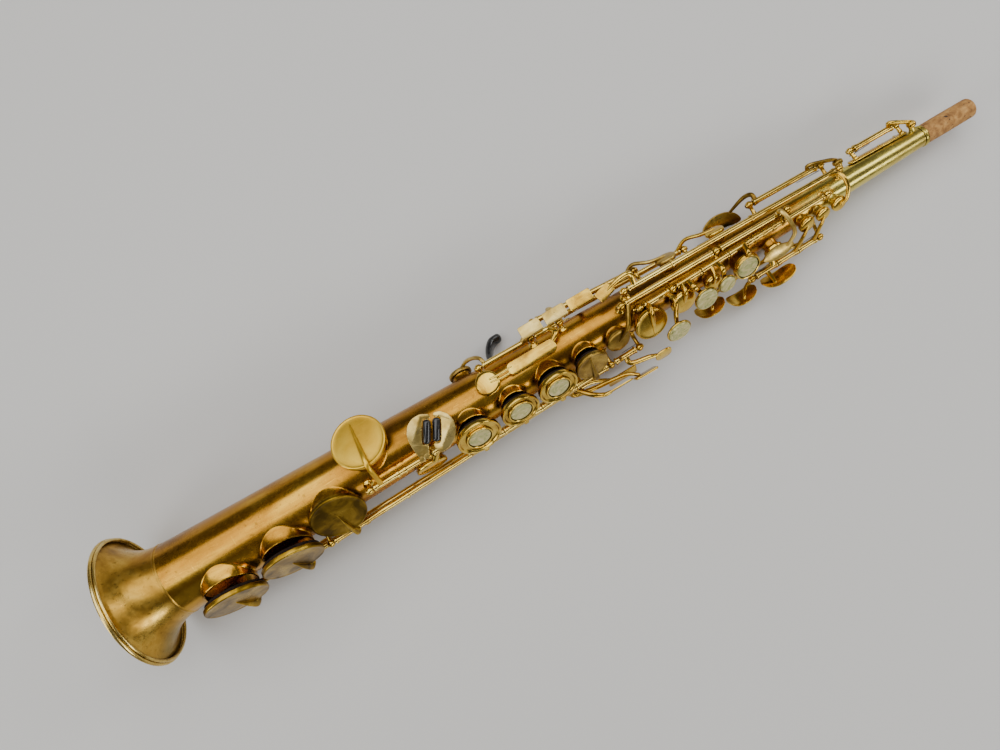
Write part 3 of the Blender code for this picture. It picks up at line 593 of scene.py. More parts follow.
def brass(name, dark, mid, light, rough, size, streak, speckle, grime_and_shade=0.75, wear=0.6, scratch=0.35,
          relief=0.35, blotches=(), pale=()):
    """Old brass: toned in patches and streaks, darkened and dull in its corners with painted shade and dirt,
    bright where it is rubbed.

    rough is its roughness where it is bright and where it is dull, size the scale of its patches,
    and streak the share of its tone that runs along the tube. blotches are (place, reach in mm,
    colour), and pale is (start, end, colour) along the tube.
    """
    paint = Paint(name)
    patches = paint.noise(size, 6, 0.7)
    streaks = paint.noise(14, 4, 0.3, (1, 9, 9))
    tone = paint.maths("ADD", paint.times(patches, 1 - streak), paint.times(streaks, streak))
    colour = paint.ramp(tone, [(0.36, dark), (0.50, mid), (0.64, light)])
    for spot, reach, tint in blotches:
        colour = paint.mix(paint.near(spot, reach), colour, tint)
    if pale:
        start, end, tint = pale
        ragged = paint.times(paint.along(start, end), paint.between(patches, 0.35, 0.6, 0.6, 1.6))
        colour = paint.mix(ragged, colour, tint)
    freckles = paint.between(paint.noise(420, 5, 0.4), 0.60, 0.72, 0.0, speckle)
    colour = paint.mix(freckles, colour, brighter(dark, 0.35))
    lines = paint.between(paint.noise(60, 3, 1.2, (1.2, 26, 26)), 0.66, 0.70, 0.0, scratch)
    cross = paint.between(paint.noise(70, 3, 1.5, (22, 1.4, 5)), 0.68, 0.72, 0.0, scratch)
    scratches = paint.maths("MAXIMUM", lines, cross)
    colour = paint.mix(scratches, colour, brighter(light, 1.5))
    # Painted shade, with dirt: corners and crevices found by ambient occlusion are darkened, and made rougher
    # below
    dirt_and_shade = paint.times(paint.crevice_shade_and_dirt(3.5), grime_and_shade)
    colour = paint.mix(dirt_and_shade, colour, DIRT_AND_SHADE)
    if wear:
        rubbed = paint.times(paint.corners(0.6), wear)
        rubbed = paint.times(rubbed, paint.between(paint.noise(180, 3), 0.35, 0.55, 0.45, 1.0))
        colour = paint.mix(rubbed, colour, brighter(light, 1.35))
    dull = paint.maths("ADD", paint.between(patches, 0.35, 0.62, 0.5, 0.0), paint.times(dirt_and_shade, 0.6))
    dull = paint.maths("ADD", dull, paint.between(paint.noise(300, 4), 0.4, 0.65, 0.0, 0.4))
    roughness = paint.between(dull, 0.0, 1.0, rough[0], rough[1])
    paint.bump(paint.maths("SUBTRACT", paint.noise(260, 5, 0.3), scratches), 0.05, relief)
    return paint.finish(colour, roughness, 1.0)


# The colour of the painted shade in corners and crevices, and of the dirt there
DIRT_AND_SHADE = (0.035, 0.022, 0.012)
KHAKI = (0.17, 0.15, 0.03)
COPPER = (0.42, 0.185, 0.020)
UMBER = (0.13, 0.06, 0.014)
BODY = brass(
    "aged_body_brass", (0.20, 0.085, 0.010), (0.44, 0.205, 0.020), (0.68, 0.385, 0.046),
    (0.20, 0.36), 20, 0.5, 0.4,
    blotches=(((-0.16, 0.018, 0.060), 26, COPPER), ((-0.24, 0.020, 0.058), 30, COPPER),
              ((-0.265, -0.022, 0.050), 20, COPPER), ((0.06, 0.012, 0.052), 34, UMBER)),
    pale=(0.170, 0.215, (0.74, 0.61, 0.14)),
)
BELL = brass(
    "aged_bell_brass", (0.22, 0.105, 0.014), (0.47, 0.26, 0.036), (0.66, 0.42, 0.08),
    (0.24, 0.46), 34, 0.25, 0.55,
    blotches=(((-0.306, -0.034, 0.048), 20, KHAKI), ((-0.290, 0.024, 0.060), 18, COPPER)),
)
RIM = brass(
    "rubbed_rim_brass", (0.44, 0.27, 0.055), (0.66, 0.46, 0.12), (0.84, 0.66, 0.25),
    (0.20, 0.34), 60, 0.2, 0.4, grime_and_shade=0.4, wear=0.0, scratch=0.1, relief=0.12,
)
KEYS_BRASS = brass(
    "key_brass", (0.32, 0.165, 0.018), (0.62, 0.375, 0.050), (0.84, 0.58, 0.105),
    (0.14, 0.28), 60, 0.3, 0.3,
)
ROD_BRASS = brass(
    "rod_brass", (0.54, 0.32, 0.055), (0.76, 0.51, 0.105), (0.90, 0.68, 0.19),
    (0.12, 0.24), 50, 0.5, 0.2, grime_and_shade=0.7, wear=0.0, scratch=0.08, relief=0.10,
)
OLIVE = brass(
    "tarnished_cup_brass", (0.090, 0.050, 0.004), (0.26, 0.150, 0.012), (0.46, 0.29, 0.035),
    (0.26, 0.42), 70, 0.1, 0.5, wear=0.9,
)
SATIN = brass(
    "satin_gold", (0.56, 0.30, 0.026), (0.74, 0.43, 0.036), (0.86, 0.56, 0.065),
    (0.34, 0.46), 40, 0.1, 0.12, grime_and_shade=0.4, wear=0.3, scratch=0.2,
)
BROWN = brass(
    "browned_brass", (0.11, 0.058, 0.010), (0.27, 0.160, 0.027), (0.48, 0.31, 0.065),
    (0.24, 0.42), 80, 0.2, 0.4,
)
NICKEL = brass(
    "worn_nickel", (0.36, 0.225, 0.050), (0.57, 0.395, 0.100), (0.76, 0.58, 0.205),
    (0.26, 0.44), 70, 0.2, 0.3, grime_and_shade=0.5, scratch=0.45,
)
NECK = brass(
    "neck_brass", (0.46, 0.34, 0.06), (0.68, 0.55, 0.12), (0.84, 0.73, 0.24),
    (0.20, 0.36), 40, 0.5, 0.2, wear=0.0,
)
STEEL = brass(
    "blued_steel", (0.10, 0.10, 0.11), (0.26, 0.26, 0.27), (0.48, 0.48, 0.48),
    (0.24, 0.40), 90, 0.2, 0.2, wear=0.0, scratch=0.2,
)


def pearl_material():
    paint = Paint("mother_of_pearl")
    bands = paint.noise(95, 5, 3.2, (1, 1.8, 1.2))
    colour = paint.ramp(bands, [(0.28, (0.22, 0.22, 0.05)), (0.45, (0.42, 0.41, 0.11)),
                                (0.56, (0.58, 0.46, 0.17)), (0.72, (0.70, 0.70, 0.30))])
    flecks = paint.between(paint.noise(520, 4, 1.0), 0.60, 0.74, 0.0, 0.35)
    colour = paint.mix(flecks, colour, (0.30, 0.26, 0.15))
    # Painted shade, with dirt: the crevices round the pearl are darkened by ambient occlusion
    dirt_and_shade = paint.times(paint.crevice_shade_and_dirt(1.6), 0.75)
    colour = paint.mix(dirt_and_shade, colour, (0.12, 0.09, 0.04))
    paint.bump(paint.noise(300, 3, 1.0), 0.03, 0.3)
    return paint.finish(colour, paint.between(bands, 0.3, 0.7, 0.10, 0.24), 0.3, 0.8)


def cork_material():
    paint = Paint("pressed_cork")
    grain = paint.noise(260, 6, 0.4)
    colour = paint.ramp(grain, [(0.30, (0.20, 0.088, 0.022)), (0.50, (0.40, 0.19, 0.048)),
                                (0.70, (0.56, 0.31, 0.095))])
    pits = paint.between(paint.noise(520, 3, 0.6, (0.6, 1, 1)), 0.63, 0.69)
    colour = paint.mix(pits, colour, (0.05, 0.025, 0.012))
    lines = paint.between(paint.noise(90, 3, 0.2, (0.4, 3, 3)), 0.60, 0.68, 0.0, 0.5)
    colour = paint.mix(lines, colour, (0.12, 0.062, 0.030))
    paint.bump(paint.maths("SUBTRACT", grain, pits), 0.25, 0.7)
    return paint.finish(colour, 0.82)


def pad_material():
    paint = Paint("pad_leather")
    grain = paint.noise(700, 4, 0.3)
    # Near-black leather: the pad's own dark colour, made darker still as painted shade for the gap under each
    # cup
    colour = paint.ramp(grain, [(0.35, (0.008, 0.005, 0.004)), (0.65, (0.028, 0.017, 0.011))])
    paint.bump(grain, 0.08, 0.6)
    paint.shader.inputs["Specular IOR Level"].default_value = 0.1
    return paint.finish(colour, 0.95)


def black_material():
    paint = Paint("black_gloss")
    haze = paint.noise(240, 4, 0.4)
    colour = paint.ramp(haze, [(0.35, (0.006, 0.006, 0.007)), (0.7, (0.022, 0.021, 0.020))])
    rubbed = paint.times(paint.corners(0.5), 0.4)
    colour = paint.mix(rubbed, colour, (0.10, 0.09, 0.08))
    paint.bump(paint.noise(420, 4), 0.02, 0.3)
    return paint.finish(colour, paint.between(haze, 0.35, 0.7, 0.14, 0.34), 0.0, 0.4)


PEARL = pearl_material()
CORK = cork_material()
PAD = pad_material()
BLACK = black_material()


# Bell, body and neck


def make_bell():
    end = SEAM_U - GAP / 2
    outside = (3.4, 4, 5, 6, 7, 8.5, 10, 12, 14, 16.5, 19, 22, 25, 27.6, end)
    inside = (end, 27, 23, 19, 15, 12, 9, 7, 5.5, 4, 3, 2, 1.2)
    rim = BELL_RADIUS - RIM_BEAD
    profile = [(outer_radius(u), u) for u in outside] + [(outer_radius(u) - WALL, u) for u in inside]
    cup = Shape().hoop(profile + [(rim - 1.2, 0.7), (rim - 0.4, 1.6)], 160)
    # A raised solder line where the bell joins the body
    band = ((-1.0, 0.02), (-0.7, 0.32), (0.0, 0.40), (0.7, 0.32), (1.0, 0.02), (0.0, -0.4))
    cup.hoop([(outer_radius(SEAM_U + ahead) + lift, SEAM_U + ahead) for ahead, lift in band], 160)
    piece("bell_flare", cup, BELL, replaces=["bell"])
    rolled = Shape()
    for inset, middle, size in ((1.3, 1.3, 1.3), (2.0, 3.5, 1.0)):
        rolled.hoop([(BELL_RADIUS - inset + size * c, middle + size * s) for c, s in circle(20)], 200)
    piece("bell_rim", rolled, RIM)


def tone_hole_keys():
    return [key for key in KEYS if key.cup]


def drilled(shape, cutters):
    """The shape with the cutters taken out of it."""
    made = []
    for each in (shape, cutters):
        mesh = bpy.data.meshes.new("work")
        bmesh.ops.recalc_face_normals(each.mesh, faces=each.mesh.faces)
        each.mesh.to_mesh(mesh)
        obj = bpy.data.objects.new("work", mesh)
        bpy.context.scene.collection.objects.link(obj)
        made.append(obj)
    cut = made[0].modifiers.new("Holes", "BOOLEAN")
    cut.operation = "DIFFERENCE"
    cut.solver = "EXACT"
    cut.object = made[1]
    bpy.context.view_layer.update()
    graph = bpy.context.evaluated_depsgraph_get()
    done = bpy.data.meshes.new_from_object(made[0].evaluated_get(graph))
    result = Shape()
    result.mesh.from_mesh(done)
    for obj in made:
        bpy.data.objects.remove(obj)
    return result


def make_tube():
    flare = [31 + 1.5 * i for i in range(12)]
    cone = [50 + 9.0 * i for i in range(61)]
    stations = [SEAM_U + GAP / 2 + 0.3, *flare, *cone, TUBE_END_U]
    outer = [(outer_radius(u), u) for u in stations]
    inner = [(outer_radius(u) - WALL, u) for u in reversed(stations)]
    tube = Shape().hoop(outer + inner, 144)
    holes = Shape()
    for key in tone_hole_keys():
        u, angle, _ = key.cup
        radius = key.chimney[0] - CHIMNEY_WALL
        depth = cone_radius(u) * 0.55
        holes.turned([(0, 0), (radius, 0), (radius, depth + 6), (0, depth + 6)],
                     at(u, angle, cone_radius(u) - depth), radial(angle), 40)
    piece("body_cone", drilled(tube, holes), BODY, replaces=["body_tube"], sharp=30)


def saddle_ring(key, radius, height, steps):
    """A ring round a tone hole that follows the tube: height is above the tube's surface."""
    u, angle, _ = key.cup
    tube = cone_radius(u)
    ring = []
    for c, s in circle(steps):
        along, side = radius * c, radius * s
        rise = math.sqrt(max(tube * tube - side * side, 0.01))
        rho = rise - CONE_TAPER * along + height
        ring.append(at(u + along, angle, rho) + tangent(angle) * side * MM)
    return ring


def level_ring(key, radius, height, steps):
    """A flat ring round a tone hole: height is from the tube's axis."""
    u, angle, _ = key.cup
    centre = at(u, angle, height)
    return [centre + (AXIS * c + tangent(angle) * s) * radius * MM for c, s in circle(steps)]


def make_chimneys():
    shape = Shape()
    for key in tone_hole_keys():
        r = key.chimney[0]
        top = chimney_top(key)
        steps = 64 if r > 8 else 40
        foot = min(0.9, r * 0.14)
        inner = r - CHIMNEY_WALL
        low = [(r + foot, -0.35), (r + foot * 0.45, 0.12), (r + 0.05, 0.42)]
        high = [(r, -0.75), (r + 0.22, -0.6), (r + 0.28, -0.3), (r + 0.1, 0), (inner + 0.25, 0),
                (inner, -0.3)]
        rings = [saddle_ring(key, radius, height, steps) for radius, height in low]
        rings += [level_ring(key, radius, top + height, steps) for radius, height in high]
        shape.skin(rings + [saddle_ring(key, inner, -0.8, steps)], close=True)
    piece("tone_hole_chimneys", shape, BODY)


def post_shape(shape, rod, u, size=POST_BALL, foot_at=None):
    """A turned post with a foot, a waist and a ball. Gives back the ball's centre."""
    centre = on_rod(rod, u)
    axis_point = at(u, 0, 0)
    outward = (centre - axis_point).normalized()
    root = foot_at or axis_point + outward * (cone_radius(u) - 0.4) * MM
    height = (centre - root).length / MM
    up = (centre - root).normalized()
    foot = 3.3 if size > 2.4 else 2.0
    profile = [(0, -0.3), (foot, -0.3), (foot, 0.5), (foot - 0.4, 0.95), (foot * 0.62, 1.25), (1.55, 2.0),
               (1.25, height * 0.5), (1.35, height - 2.2), (1.75, height - 1.6), (0, height - 1.2)]
    profile = [p for i, p in enumerate(profile) if i == 0 or p[1] > profile[i - 1][1] - 0.01 or i < 3]
    shape.turned(profile, root, up, 24)
    shape.ball(centre, size, rod_direction(rod), flat=0.12)
    return centre


def screw_end(shape, slot_shades, centre, direction, size):
    """The slotted end of a hinge rod, outside its post. Its slot is a black bar across the head: painted
    shade for the groove.
    """
    base = centre + direction * (size - 0.5) * MM
    shape.turned([(0, -0.5), (1.45, -0.5), (1.45, 0.35), (1.15, 0.62), (0, 0.66)], base, direction, 20)
    across_slot = direction.cross(Vector((0.3, 0.5, 1))).normalized()
    tip = base + direction * 0.56 * MM
    slot_shades.bar([tip - across_slot * 1.25 * MM, tip + across_slot * 1.25 * MM], [0.24, 0.24], 8, square=4,
              tips=False)


def make_posts():
    posts = Shape()
    screws = Shape()
    slot_shades = Shape()
    for rod, (_, _, stations) in RODS.items():
        if rod == "neck_octave_rod":
            continue
        for u in stations:
            centre = post_shape(posts, rod, u)
            if u == stations[0]:
                screw_end(screws, slot_shades, centre, -rod_direction(rod), POST_BALL)
            if u == stations[-1]:
                screw_end(screws, slot_shades, centre, rod_direction(rod), POST_BALL)
    # The neck octave key's two posts stand on a strip of their own, held by three screws
    angle = SADDLE_ANGLE
    middle = sum(SADDLE_ENDS) / 2
    height = cone_radius(middle) + GAP + 0.75
    place = Matrix.Translation(at(middle, angle, height)) @ facing(radial(angle))
    place = place @ Matrix.Rotation(math.atan(CONE_TAPER), 4, "Y")
    saddle = Shape().plate(rounded_box(SADDLE_ENDS[1] - SADDLE_ENDS[0], 4.6, 2.2), 1.2, place)
    for u in RODS["neck_octave_rod"][2]:
        root = at(u, angle, cone_radius(u) + GAP + 0.9)
        centre = post_shape(saddle, "neck_octave_rod", u, NECK_POST_BALL, root)
        sign = 1 if u > middle else -1
        screw_end(screws, slot_shades, centre, rod_direction("neck_octave_rod") * sign, NECK_POST_BALL)
    for u in (544.5, 566, 578):
        base = at(u, angle, height + 0.8)
        saddle.turned([(0, 0), (0.9, 0), (0.8, 0.35), (0, 0.5)], base, radial(angle), 14)
    piece("ball_posts", posts, KEYS_BRASS)
    piece("octave_saddle_strip", saddle, KEYS_BRASS, replaces=["octave_saddle"])
    for start, end, _ in RODS.values():
        screws.bar([at(*start), at(*end)], [ROD_RADIUS, ROD_RADIUS], 14, tips=False)
    piece("hinge_rod_screws", screws, ROD_BRASS, replaces=list(RODS))
    # Black bars across the screw heads: painted shade for their slots
    piece("screw_slot_shades", slot_shades, BLACK)


def make_neck_end():
    start = TUBE_END_U + GAP
    bore = cone_radius(TUBE_END_U) - WALL
    r = FERRULE_RADIUS
    end = start + FERRULE_LENGTH
    ring = [(bore, start), (r - 0.3, start), (r, start + 0.3), (r, start + 0.8), (r - 0.4, start + 1.1),
            (r - 0.4, start + 1.5), (r - 0.05, start + 1.8), (r - 0.1, start + 2.3), (r - 0.5, end),
            (bore, end)]
    piece("neck_collar", Shape().hoop(ring, 72), NECK, replaces=["neck_ferrule"])
    begin = end + GAP
    stations = [begin + (LENGTH - 2 - begin) * i / 14 for i in range(15)]
    sleeve = [(CORK_BORE, begin)]
    # Pressed cork is never quite even
    sleeve += [(CORK_RADIUS - 0.12 + 0.12 * math.sin(u * 1.9) * math.sin(u * 0.37), u) for u in stations]
    sleeve += [(CORK_RADIUS - 0.35, LENGTH - 1.1), (CORK_RADIUS - 1.0, LENGTH - 0.3),
               (CORK_RADIUS - 1.6, LENGTH), (CORK_BORE, LENGTH)]
    piece("cork_sleeve", Shape().hoop(sleeve, 64), CORK, replaces=["neck_cork"])


def soldered_foot(u, angle, height, length, width, thickness, crown):
    """The plate that a back fitting stands on."""
    place = Matrix.Translation(at(u, angle, height)) @ facing(radial(angle))
    return Shape().plate(rounded_box(length, width, 3), thickness, place, crown=crown)


def make_back_fittings():
    height = cone_radius(HOOK_U) + GAP + 0.9
    hook = soldered_foot(HOOK_U, BACK, height, 20, 9, 1.5, 0.3)
    bends = ((0, height), (1, 27), (4, 34), (8, 38.3), (13, 39.3))
    hook.bar([at(HOOK_U + ahead, BACK, rho) for ahead, rho in bends], [2.7, 2.4, 2.5, 2.7, 2.4], 20, 1.5,
             up=AXIS, square=2.6)
    piece("thumb_hook_casting", hook, BLACK, replaces=["thumb_hook"])
    base = at(THUMB_REST_U, THUMB_REST_ANGLE, cone_radius(THUMB_REST_U) + GAP)
    rest = [(0, 0), (6.4, 0), (6.5, 0.5), (6.3, 1.3), (5.4, 2.0), (4.2, 2.35), (2.4, 2.45), (0, 2.3)]
    piece("thumb_button", Shape().turned(rest, base, radial(THUMB_REST_ANGLE), 48), BLACK,
          replaces=["thumb_rest"])
    u, angle = STRAP_RING_U, STRAP_RING_ANGLE
    height = cone_radius(u) + GAP + 0.8
    ring = soldered_foot(u, angle, height, 14, 7, 1.4, 0.25)
    wire = [(5.05 + 0.95 * c, 0.98 * s) for c, s in circle(16)]
    ring.turned(wire, at(u, angle, height + 6.1), tangent(angle), 48, close=True)
    piece("strap_loop", ring, RIM, replaces=["strap_ring"])


# Keys


def hinge_tube(shape, key):
    """The key's tube on its rod, with a collar at each end."""
    first, last = on_rod(key.rod, key.tube[0]), on_rod(key.rod, key.tube[1])
    along = rod_direction(key.rod)
    length = (last - first).length / MM
    r = HINGE_RADIUS - 0.12
    big = HINGE_RADIUS + 0.35
    profile = [(ROD_RADIUS + 0.25, 0), (big - 0.2, 0), (big, 0.25), (big, 1.2), (big - 0.2, 1.45), (r, 1.5),
               (r, 2.1), (big - 0.25, 2.15), (big - 0.25, 2.7), (r, 2.8)]
    far = [(radius, length - h) for radius, h in reversed(profile)]
    shape.turned(profile + far, first, along, 28, close=True)


def collar(shape, rod, u, knurled):
    """A ring on a hinge tube, smooth or with fine grooves."""
    width = 3.0 if knurled else 1.8
    radius = HINGE_RADIUS + 0.5
    base = on_rod(rod, u - width / 2)
    r = HINGE_RADIUS - 0.2
    profile = [(r, 0), (radius - 0.2, 0), (radius, 0.2)]
    if knurled:
        count = int(width / 0.7)
        for i in range(1, count):
            h = width * i / count
            profile += [(radius, h - 0.16), (radius - 0.22, h), (radius, h + 0.16)]
    profile += [(radius, width - 0.2), (radius - 0.2, width), (r, width)]
    shape.turned(profile, base, rod_direction(rod), 28, close=True)


def cup_shape(shape, key):
    """The key's cup: with a wide or a narrow dish for its pearl, or large, or small."""
    u, angle, r = key.cup
    top = CUP_THICKNESS
    well = key.pearl + 0.3
    skirt = [(0, 0.5), (r - 1.1, 0.5), (r - 0.9, 0.05), (r - 0.35, 0), (r - 0.05, 0.3)]
    if key.pearl and well + 3.6 < r:
        rim = r - 1.5
        profile = skirt + [
            (r, 0.8), (r, top - 0.5), (r - 0.18, top - 0.12), (r - 0.5, top), (rim + 0.25, top),
            (rim, top - 0.2), (rim - 0.25, top - 0.9), (rim - 0.8, 1.75), (well + 1.7, 1.6),
            (well + 1.35, 1.75), (well + 1.2, top - 0.2), (well + 0.95, top + 0.3), (well + 0.35, top + 0.35),
            (well + 0.1, top + 0.15), (well, 1.5), (0, 1.5),
        ]
    elif key.pearl:
        profile = skirt + [
            (r, 0.8), (r, top - 1.6), (r - 0.3, top - 1.1), (well + 1.3, top - 0.5),
            (well + 0.95, top + 0.15), (well + 0.4, top + 0.3), (well + 0.1, top + 0.15), (well, 1.5),
            (0, 1.5),
        ]
    elif r > 11:
        profile = skirt + [
            (r, 0.8), (r, top - 0.9), (r - 0.15, top - 0.4), (r - 0.55, top - 0.08), (r - 1.1, top - 0.02),
            (r - 1.5, top - 0.16), (r - 2.1, top - 0.22), (r - 4, top - 0.1), (r * 0.5, top + 0.08),
            (0, top + 0.15),
        ]
    else:
        profile = skirt + [
            (r, 0.7), (r, top - 1.3), (r - 0.2, top - 0.8), (r - 0.6, top - 0.45), (r * 0.7, top - 0.12),
            (r * 0.35, top + 0.02), (0, top + 0.08),
        ]
    shape.turned(profile, at(u, angle, cup_base(key)), radial(angle), 96 if r > 11 else 56)


def cup_arm(shape, key):
    """The rib that carries the cup, from the hinge tube to the cup's edge or over its top."""
    u, angle, r = key.cup
    hinge = on_rod(key.rod, key.arm_u)
    centre = at(u, angle, cup_base(key))
    normal = radial(angle)
    lever = hinge - centre
    side = lever - normal * lever.dot(normal)
    side.x = 0
    side.normalize()
    top = CUP_THICKNESS * MM
    slide = Vector(((hinge.x - centre.x) * 0.5, 0, 0))
    rim = centre + side * r * MM + slide
    if key.via:
        points = [hinge] + [at(*place) for place in key.via] + [centre + normal * top]
        shape.bar(points, [1.35] * (len(points) - 1) + [1.0], up=normal)
    elif key.arm == "rim":
        reach = (1.2 if key.pearl else 2.2) * MM
        points = [hinge, rim + side * 1.6 * MM + normal * top * 0.5,
                  rim + side * 0.3 * MM + normal * top * 0.75, rim - side * reach + normal * top * 0.95]
        shape.bar(points, [1.9, 1.6, 1.35, 0.7], width=1.25, up=normal, square=2.5)
    elif key.arm == "fin":
        middle = centre + (rim - centre) * 0.55 + normal * (top + 1.0 * MM)
        shoulder = rim + side * 0.8 * MM + normal * (top + 0.4 * MM)
        tip = centre - (rim - centre) * 0.10 + normal * (top + 0.1 * MM)
        low = shoulder.lerp(hinge, 0.55) + side * 1.2 * MM
        shape.bar([hinge, low, shoulder, middle, tip], [2.1, 2.5, 3.1, 2.4, 0.5], 18, 0.42, up=normal)
        brace = shoulder - side * 1.2 * MM - normal * 1.0 * MM
        shape.bar([hinge, low, brace], [2.0, 1.9, 1.4], 16, 1.15, up=normal)
    else:
        end = centre + normal * top
        if key.name in SHORT_ARMS:
            end -= side * r * 0.72 * MM
        scale = max(0.75, min(1.0, r / 9))
        over = rim + side * 0.6 * MM + normal * (top + 0.9 * MM)
        between = over.lerp(end, 0.45) + normal * 0.25 * MM
        shape.bar([hinge, over, between, end], [size * scale for size in (1.8, 1.55, 1.3, 0.55)], 16, 1.05,
                  up=normal, square=2.4)


def pad_shape(key):
    """The key's pad, from just over its tone hole up into its cup, as it is when shut."""
    u, angle, r = key.cup
    base = chimney_top(key) + 0.05
    height = cup_base(key) + 0.45 - base
    profile = [(0, 0), (r - 2.1, 0), (r - 1.6, 0.25), (r - 1.4, height * 0.5), (r - 1.5, height), (0, height)]
    return Shape().turned(profile, at(u, angle, base), radial(angle), 64)


def pearl_shape(base, direction, radius):
    t = PEARL_THICKNESS
    profile = [(0, 0), (radius, 0), (radius, t - 0.75), (radius - 0.12, t - 0.4), (radius - 0.45, t - 0.12),
               (radius - 1.0, t), (radius * 0.6, t - 0.12), (radius * 0.3, t - 0.2), (0, t - 0.22)]
    return Shape().turned(profile, base, direction, 48)


def pearl_holder(shape, key):
    """The dish that carries a pearl beside its cup, with its arm."""
    (u, angle, rho), radius = SIDE_PEARLS[key.name]
    w = radius + 0.3
    profile = [(0, -1.3), (w * 0.5, -1.1), (w * 0.85, -0.4), (w + 0.5, 0.35), (w + 0.62, 1.2),
               (w + 0.45, 1.55), (w + 0.12, 1.6), (w, 1.4), (w, 0.8), (0, 0.8)]
    shape.turned(profile, at(u, angle, rho), radial(angle), 56)
    hinge_u = PEARL_ARMS[key.name]
    hinge = on_rod(key.rod, hinge_u)
    above = at(hinge_u, 20, rho * 0.55 + 11)
    under = at(u, angle - 3, rho - 0.6)
    between = above.lerp(under, 0.6) - radial(angle) * 0.5 * MM
    shape.bar([hinge, above, between, under], [1.5, 1.4, 1.3, 1.0], 16, 1.2, up=radial(angle), square=2.4)


def bend(shape, key, u, points, *looks):
    """A bar from the key's hinge tube, at u, through the points: (u, y, z), or places made with at."""
    spots = [p if isinstance(p, Vector) else across(*p) for p in points]
    shape.bar([on_rod(key.rod, u), *spots], *looks)


def heart_plate(shape, outline):
    """One half of the heart-shaped plate that the right little finger plays."""
    shape.plate(soft_corners(outline), TOUCH_THICKNESS, Matrix.Translation(across(0, 0, HEART_Z)), edge=0.5)


def heart_left(shape, key):
    outline = [(203.5, -13.0), (202.4, -8.0), (202.2, -1.0), (203.4, 5.0), (206.5, 9.6), (211.0, 12.0),
               (216.5, 12.2), (221.5, 9.4), (221.3, 6.4), (216.4, 9.0), (208.3, -4.9), (212.1, -7.2),
               (210.8, -8.8), (209.0, -13.0)]
    heart_plate(shape, outline)
    bend(shape, key, 203, [(204.5, -12.6, HEART_Z - 2), (205.5, -10.0, HEART_Z - 0.3)], [1.9, 1.7, 1.1], 16,
         1.2)
    for side in (0, 1):
        base = across(204.0 + 3.4 * side, -12.4, HEART_Z - 2.0)
        shape.turned([(0, 0), (1.5, 0), (1.5, 3.0), (0, 3.2)], base, Vector((0, 0, 1)), 20)
    roller_ears(shape, "low_c_roller")


def heart_right(shape, key):
    outline = [(222.7, 5.5), (224.2, 7.2), (228.2, 6.0), (231.4, 2.2), (232.6, -3.0), (231.2, -8.5),
               (227.2, -13.4), (221.5, -16.2), (216.5, -16.4), (214.4, -13.0), (214.5, -9.0), (219.1, -11.2),
               (227.1, 2.7)]
    heart_plate(shape, outline)
    bend(shape, key, 216, [(217.3, -14.5, HEART_Z - 1.5), (218.5, -13.0, HEART_Z - 0.3)], [1.8, 1.6, 1.1], 16,
         1.2)
    roller_ears(shape, "low_e_flat_roller")


def roller_line(name):
    _, (u, y) = ROLLERS[name]
    turn = math.radians(ROLLER_TURN)
    half = Vector((math.cos(turn), math.sin(turn), 0)) * ROLLER_LENGTH / 2 * MM
    return across(u, y, HEART_Z), half


def roller_ears(shape, name):
    """The two small lugs that hold a roller's pin."""
    centre, half = roller_line(name)
    way = half.normalized()
    for sign in (-1, 1):
        spot = centre + way * sign * (ROLLER_LENGTH / 2 + 0.55) * MM
        lug = [(0, -0.35), (1.1, -0.35), (1.3, -0.15), (1.3, 0.15), (1.1, 0.35), (0, 0.35)]
        shape.turned(lug, spot, way, 20)


def roller_shape(name):
    centre, half = roller_line(name)
    r, length = ROLLER_RADIUS, ROLLER_LENGTH
    profile = [(0, 0), (1.2, 0), (1.7, 0.25), (r - 0.15, 0.9), (r, 1.6), (r + 0.02, length / 2),
               (r, length - 1.6), (r - 0.15, length - 0.9), (1.7, length - 0.25), (1.2, length), (0, length)]
    return Shape().turned(profile, centre - half, half.normalized(), 32)


def flat_touch(shape, u, y, z, length, width, tilt=0.0, turn=0.0, corner=2.0, thickness=TOUCH_THICKNESS):
    """A flat plate with round corners, tilted about the tube's way and turned about its own middle."""
    place = Matrix.Translation(across(u, y, z)) @ Matrix.Rotation(math.radians(tilt), 4, "X")
    place = place @ Matrix.Rotation(math.radians(turn), 4, "Z")
    shape.plate(rounded_box(length, width, corner), thickness, place, edge=0.5)


def palm_plate(shape, u1, u2, y, z, bulge, height, lean):
    """A palm touch: a leaf that bulges towards -Y between two stations."""
    thickness = TOUCH_THICKNESS
    place = Matrix.Translation(across((u1 + u2) / 2, y, z)) @ Matrix.Rotation(math.radians(lean), 4, "X")
    rings = []
    steps = 20
    for step in range(steps + 1):
        share = 2 * step / steps - 1
        x = (u2 - u1) / 2 * share
        bow = bulge * (share * share - 1)
        swell = math.sqrt(max(0.0, 1 - abs(share) ** 3.2))
        tall = height / 2 * (0.16 + 0.84 * swell)
        thick = thickness * (0.55 + 0.45 * swell)
        ring = []
        for c, s in circle(20):
            c, s = squared(c, 0.45), squared(s, 0.45)
            ring.append(place @ (Vector((x, bow + thickness / 2 + c * thick / 2, s * tall)) * MM))
        rings.append(ring)
    shape.skin(rings)


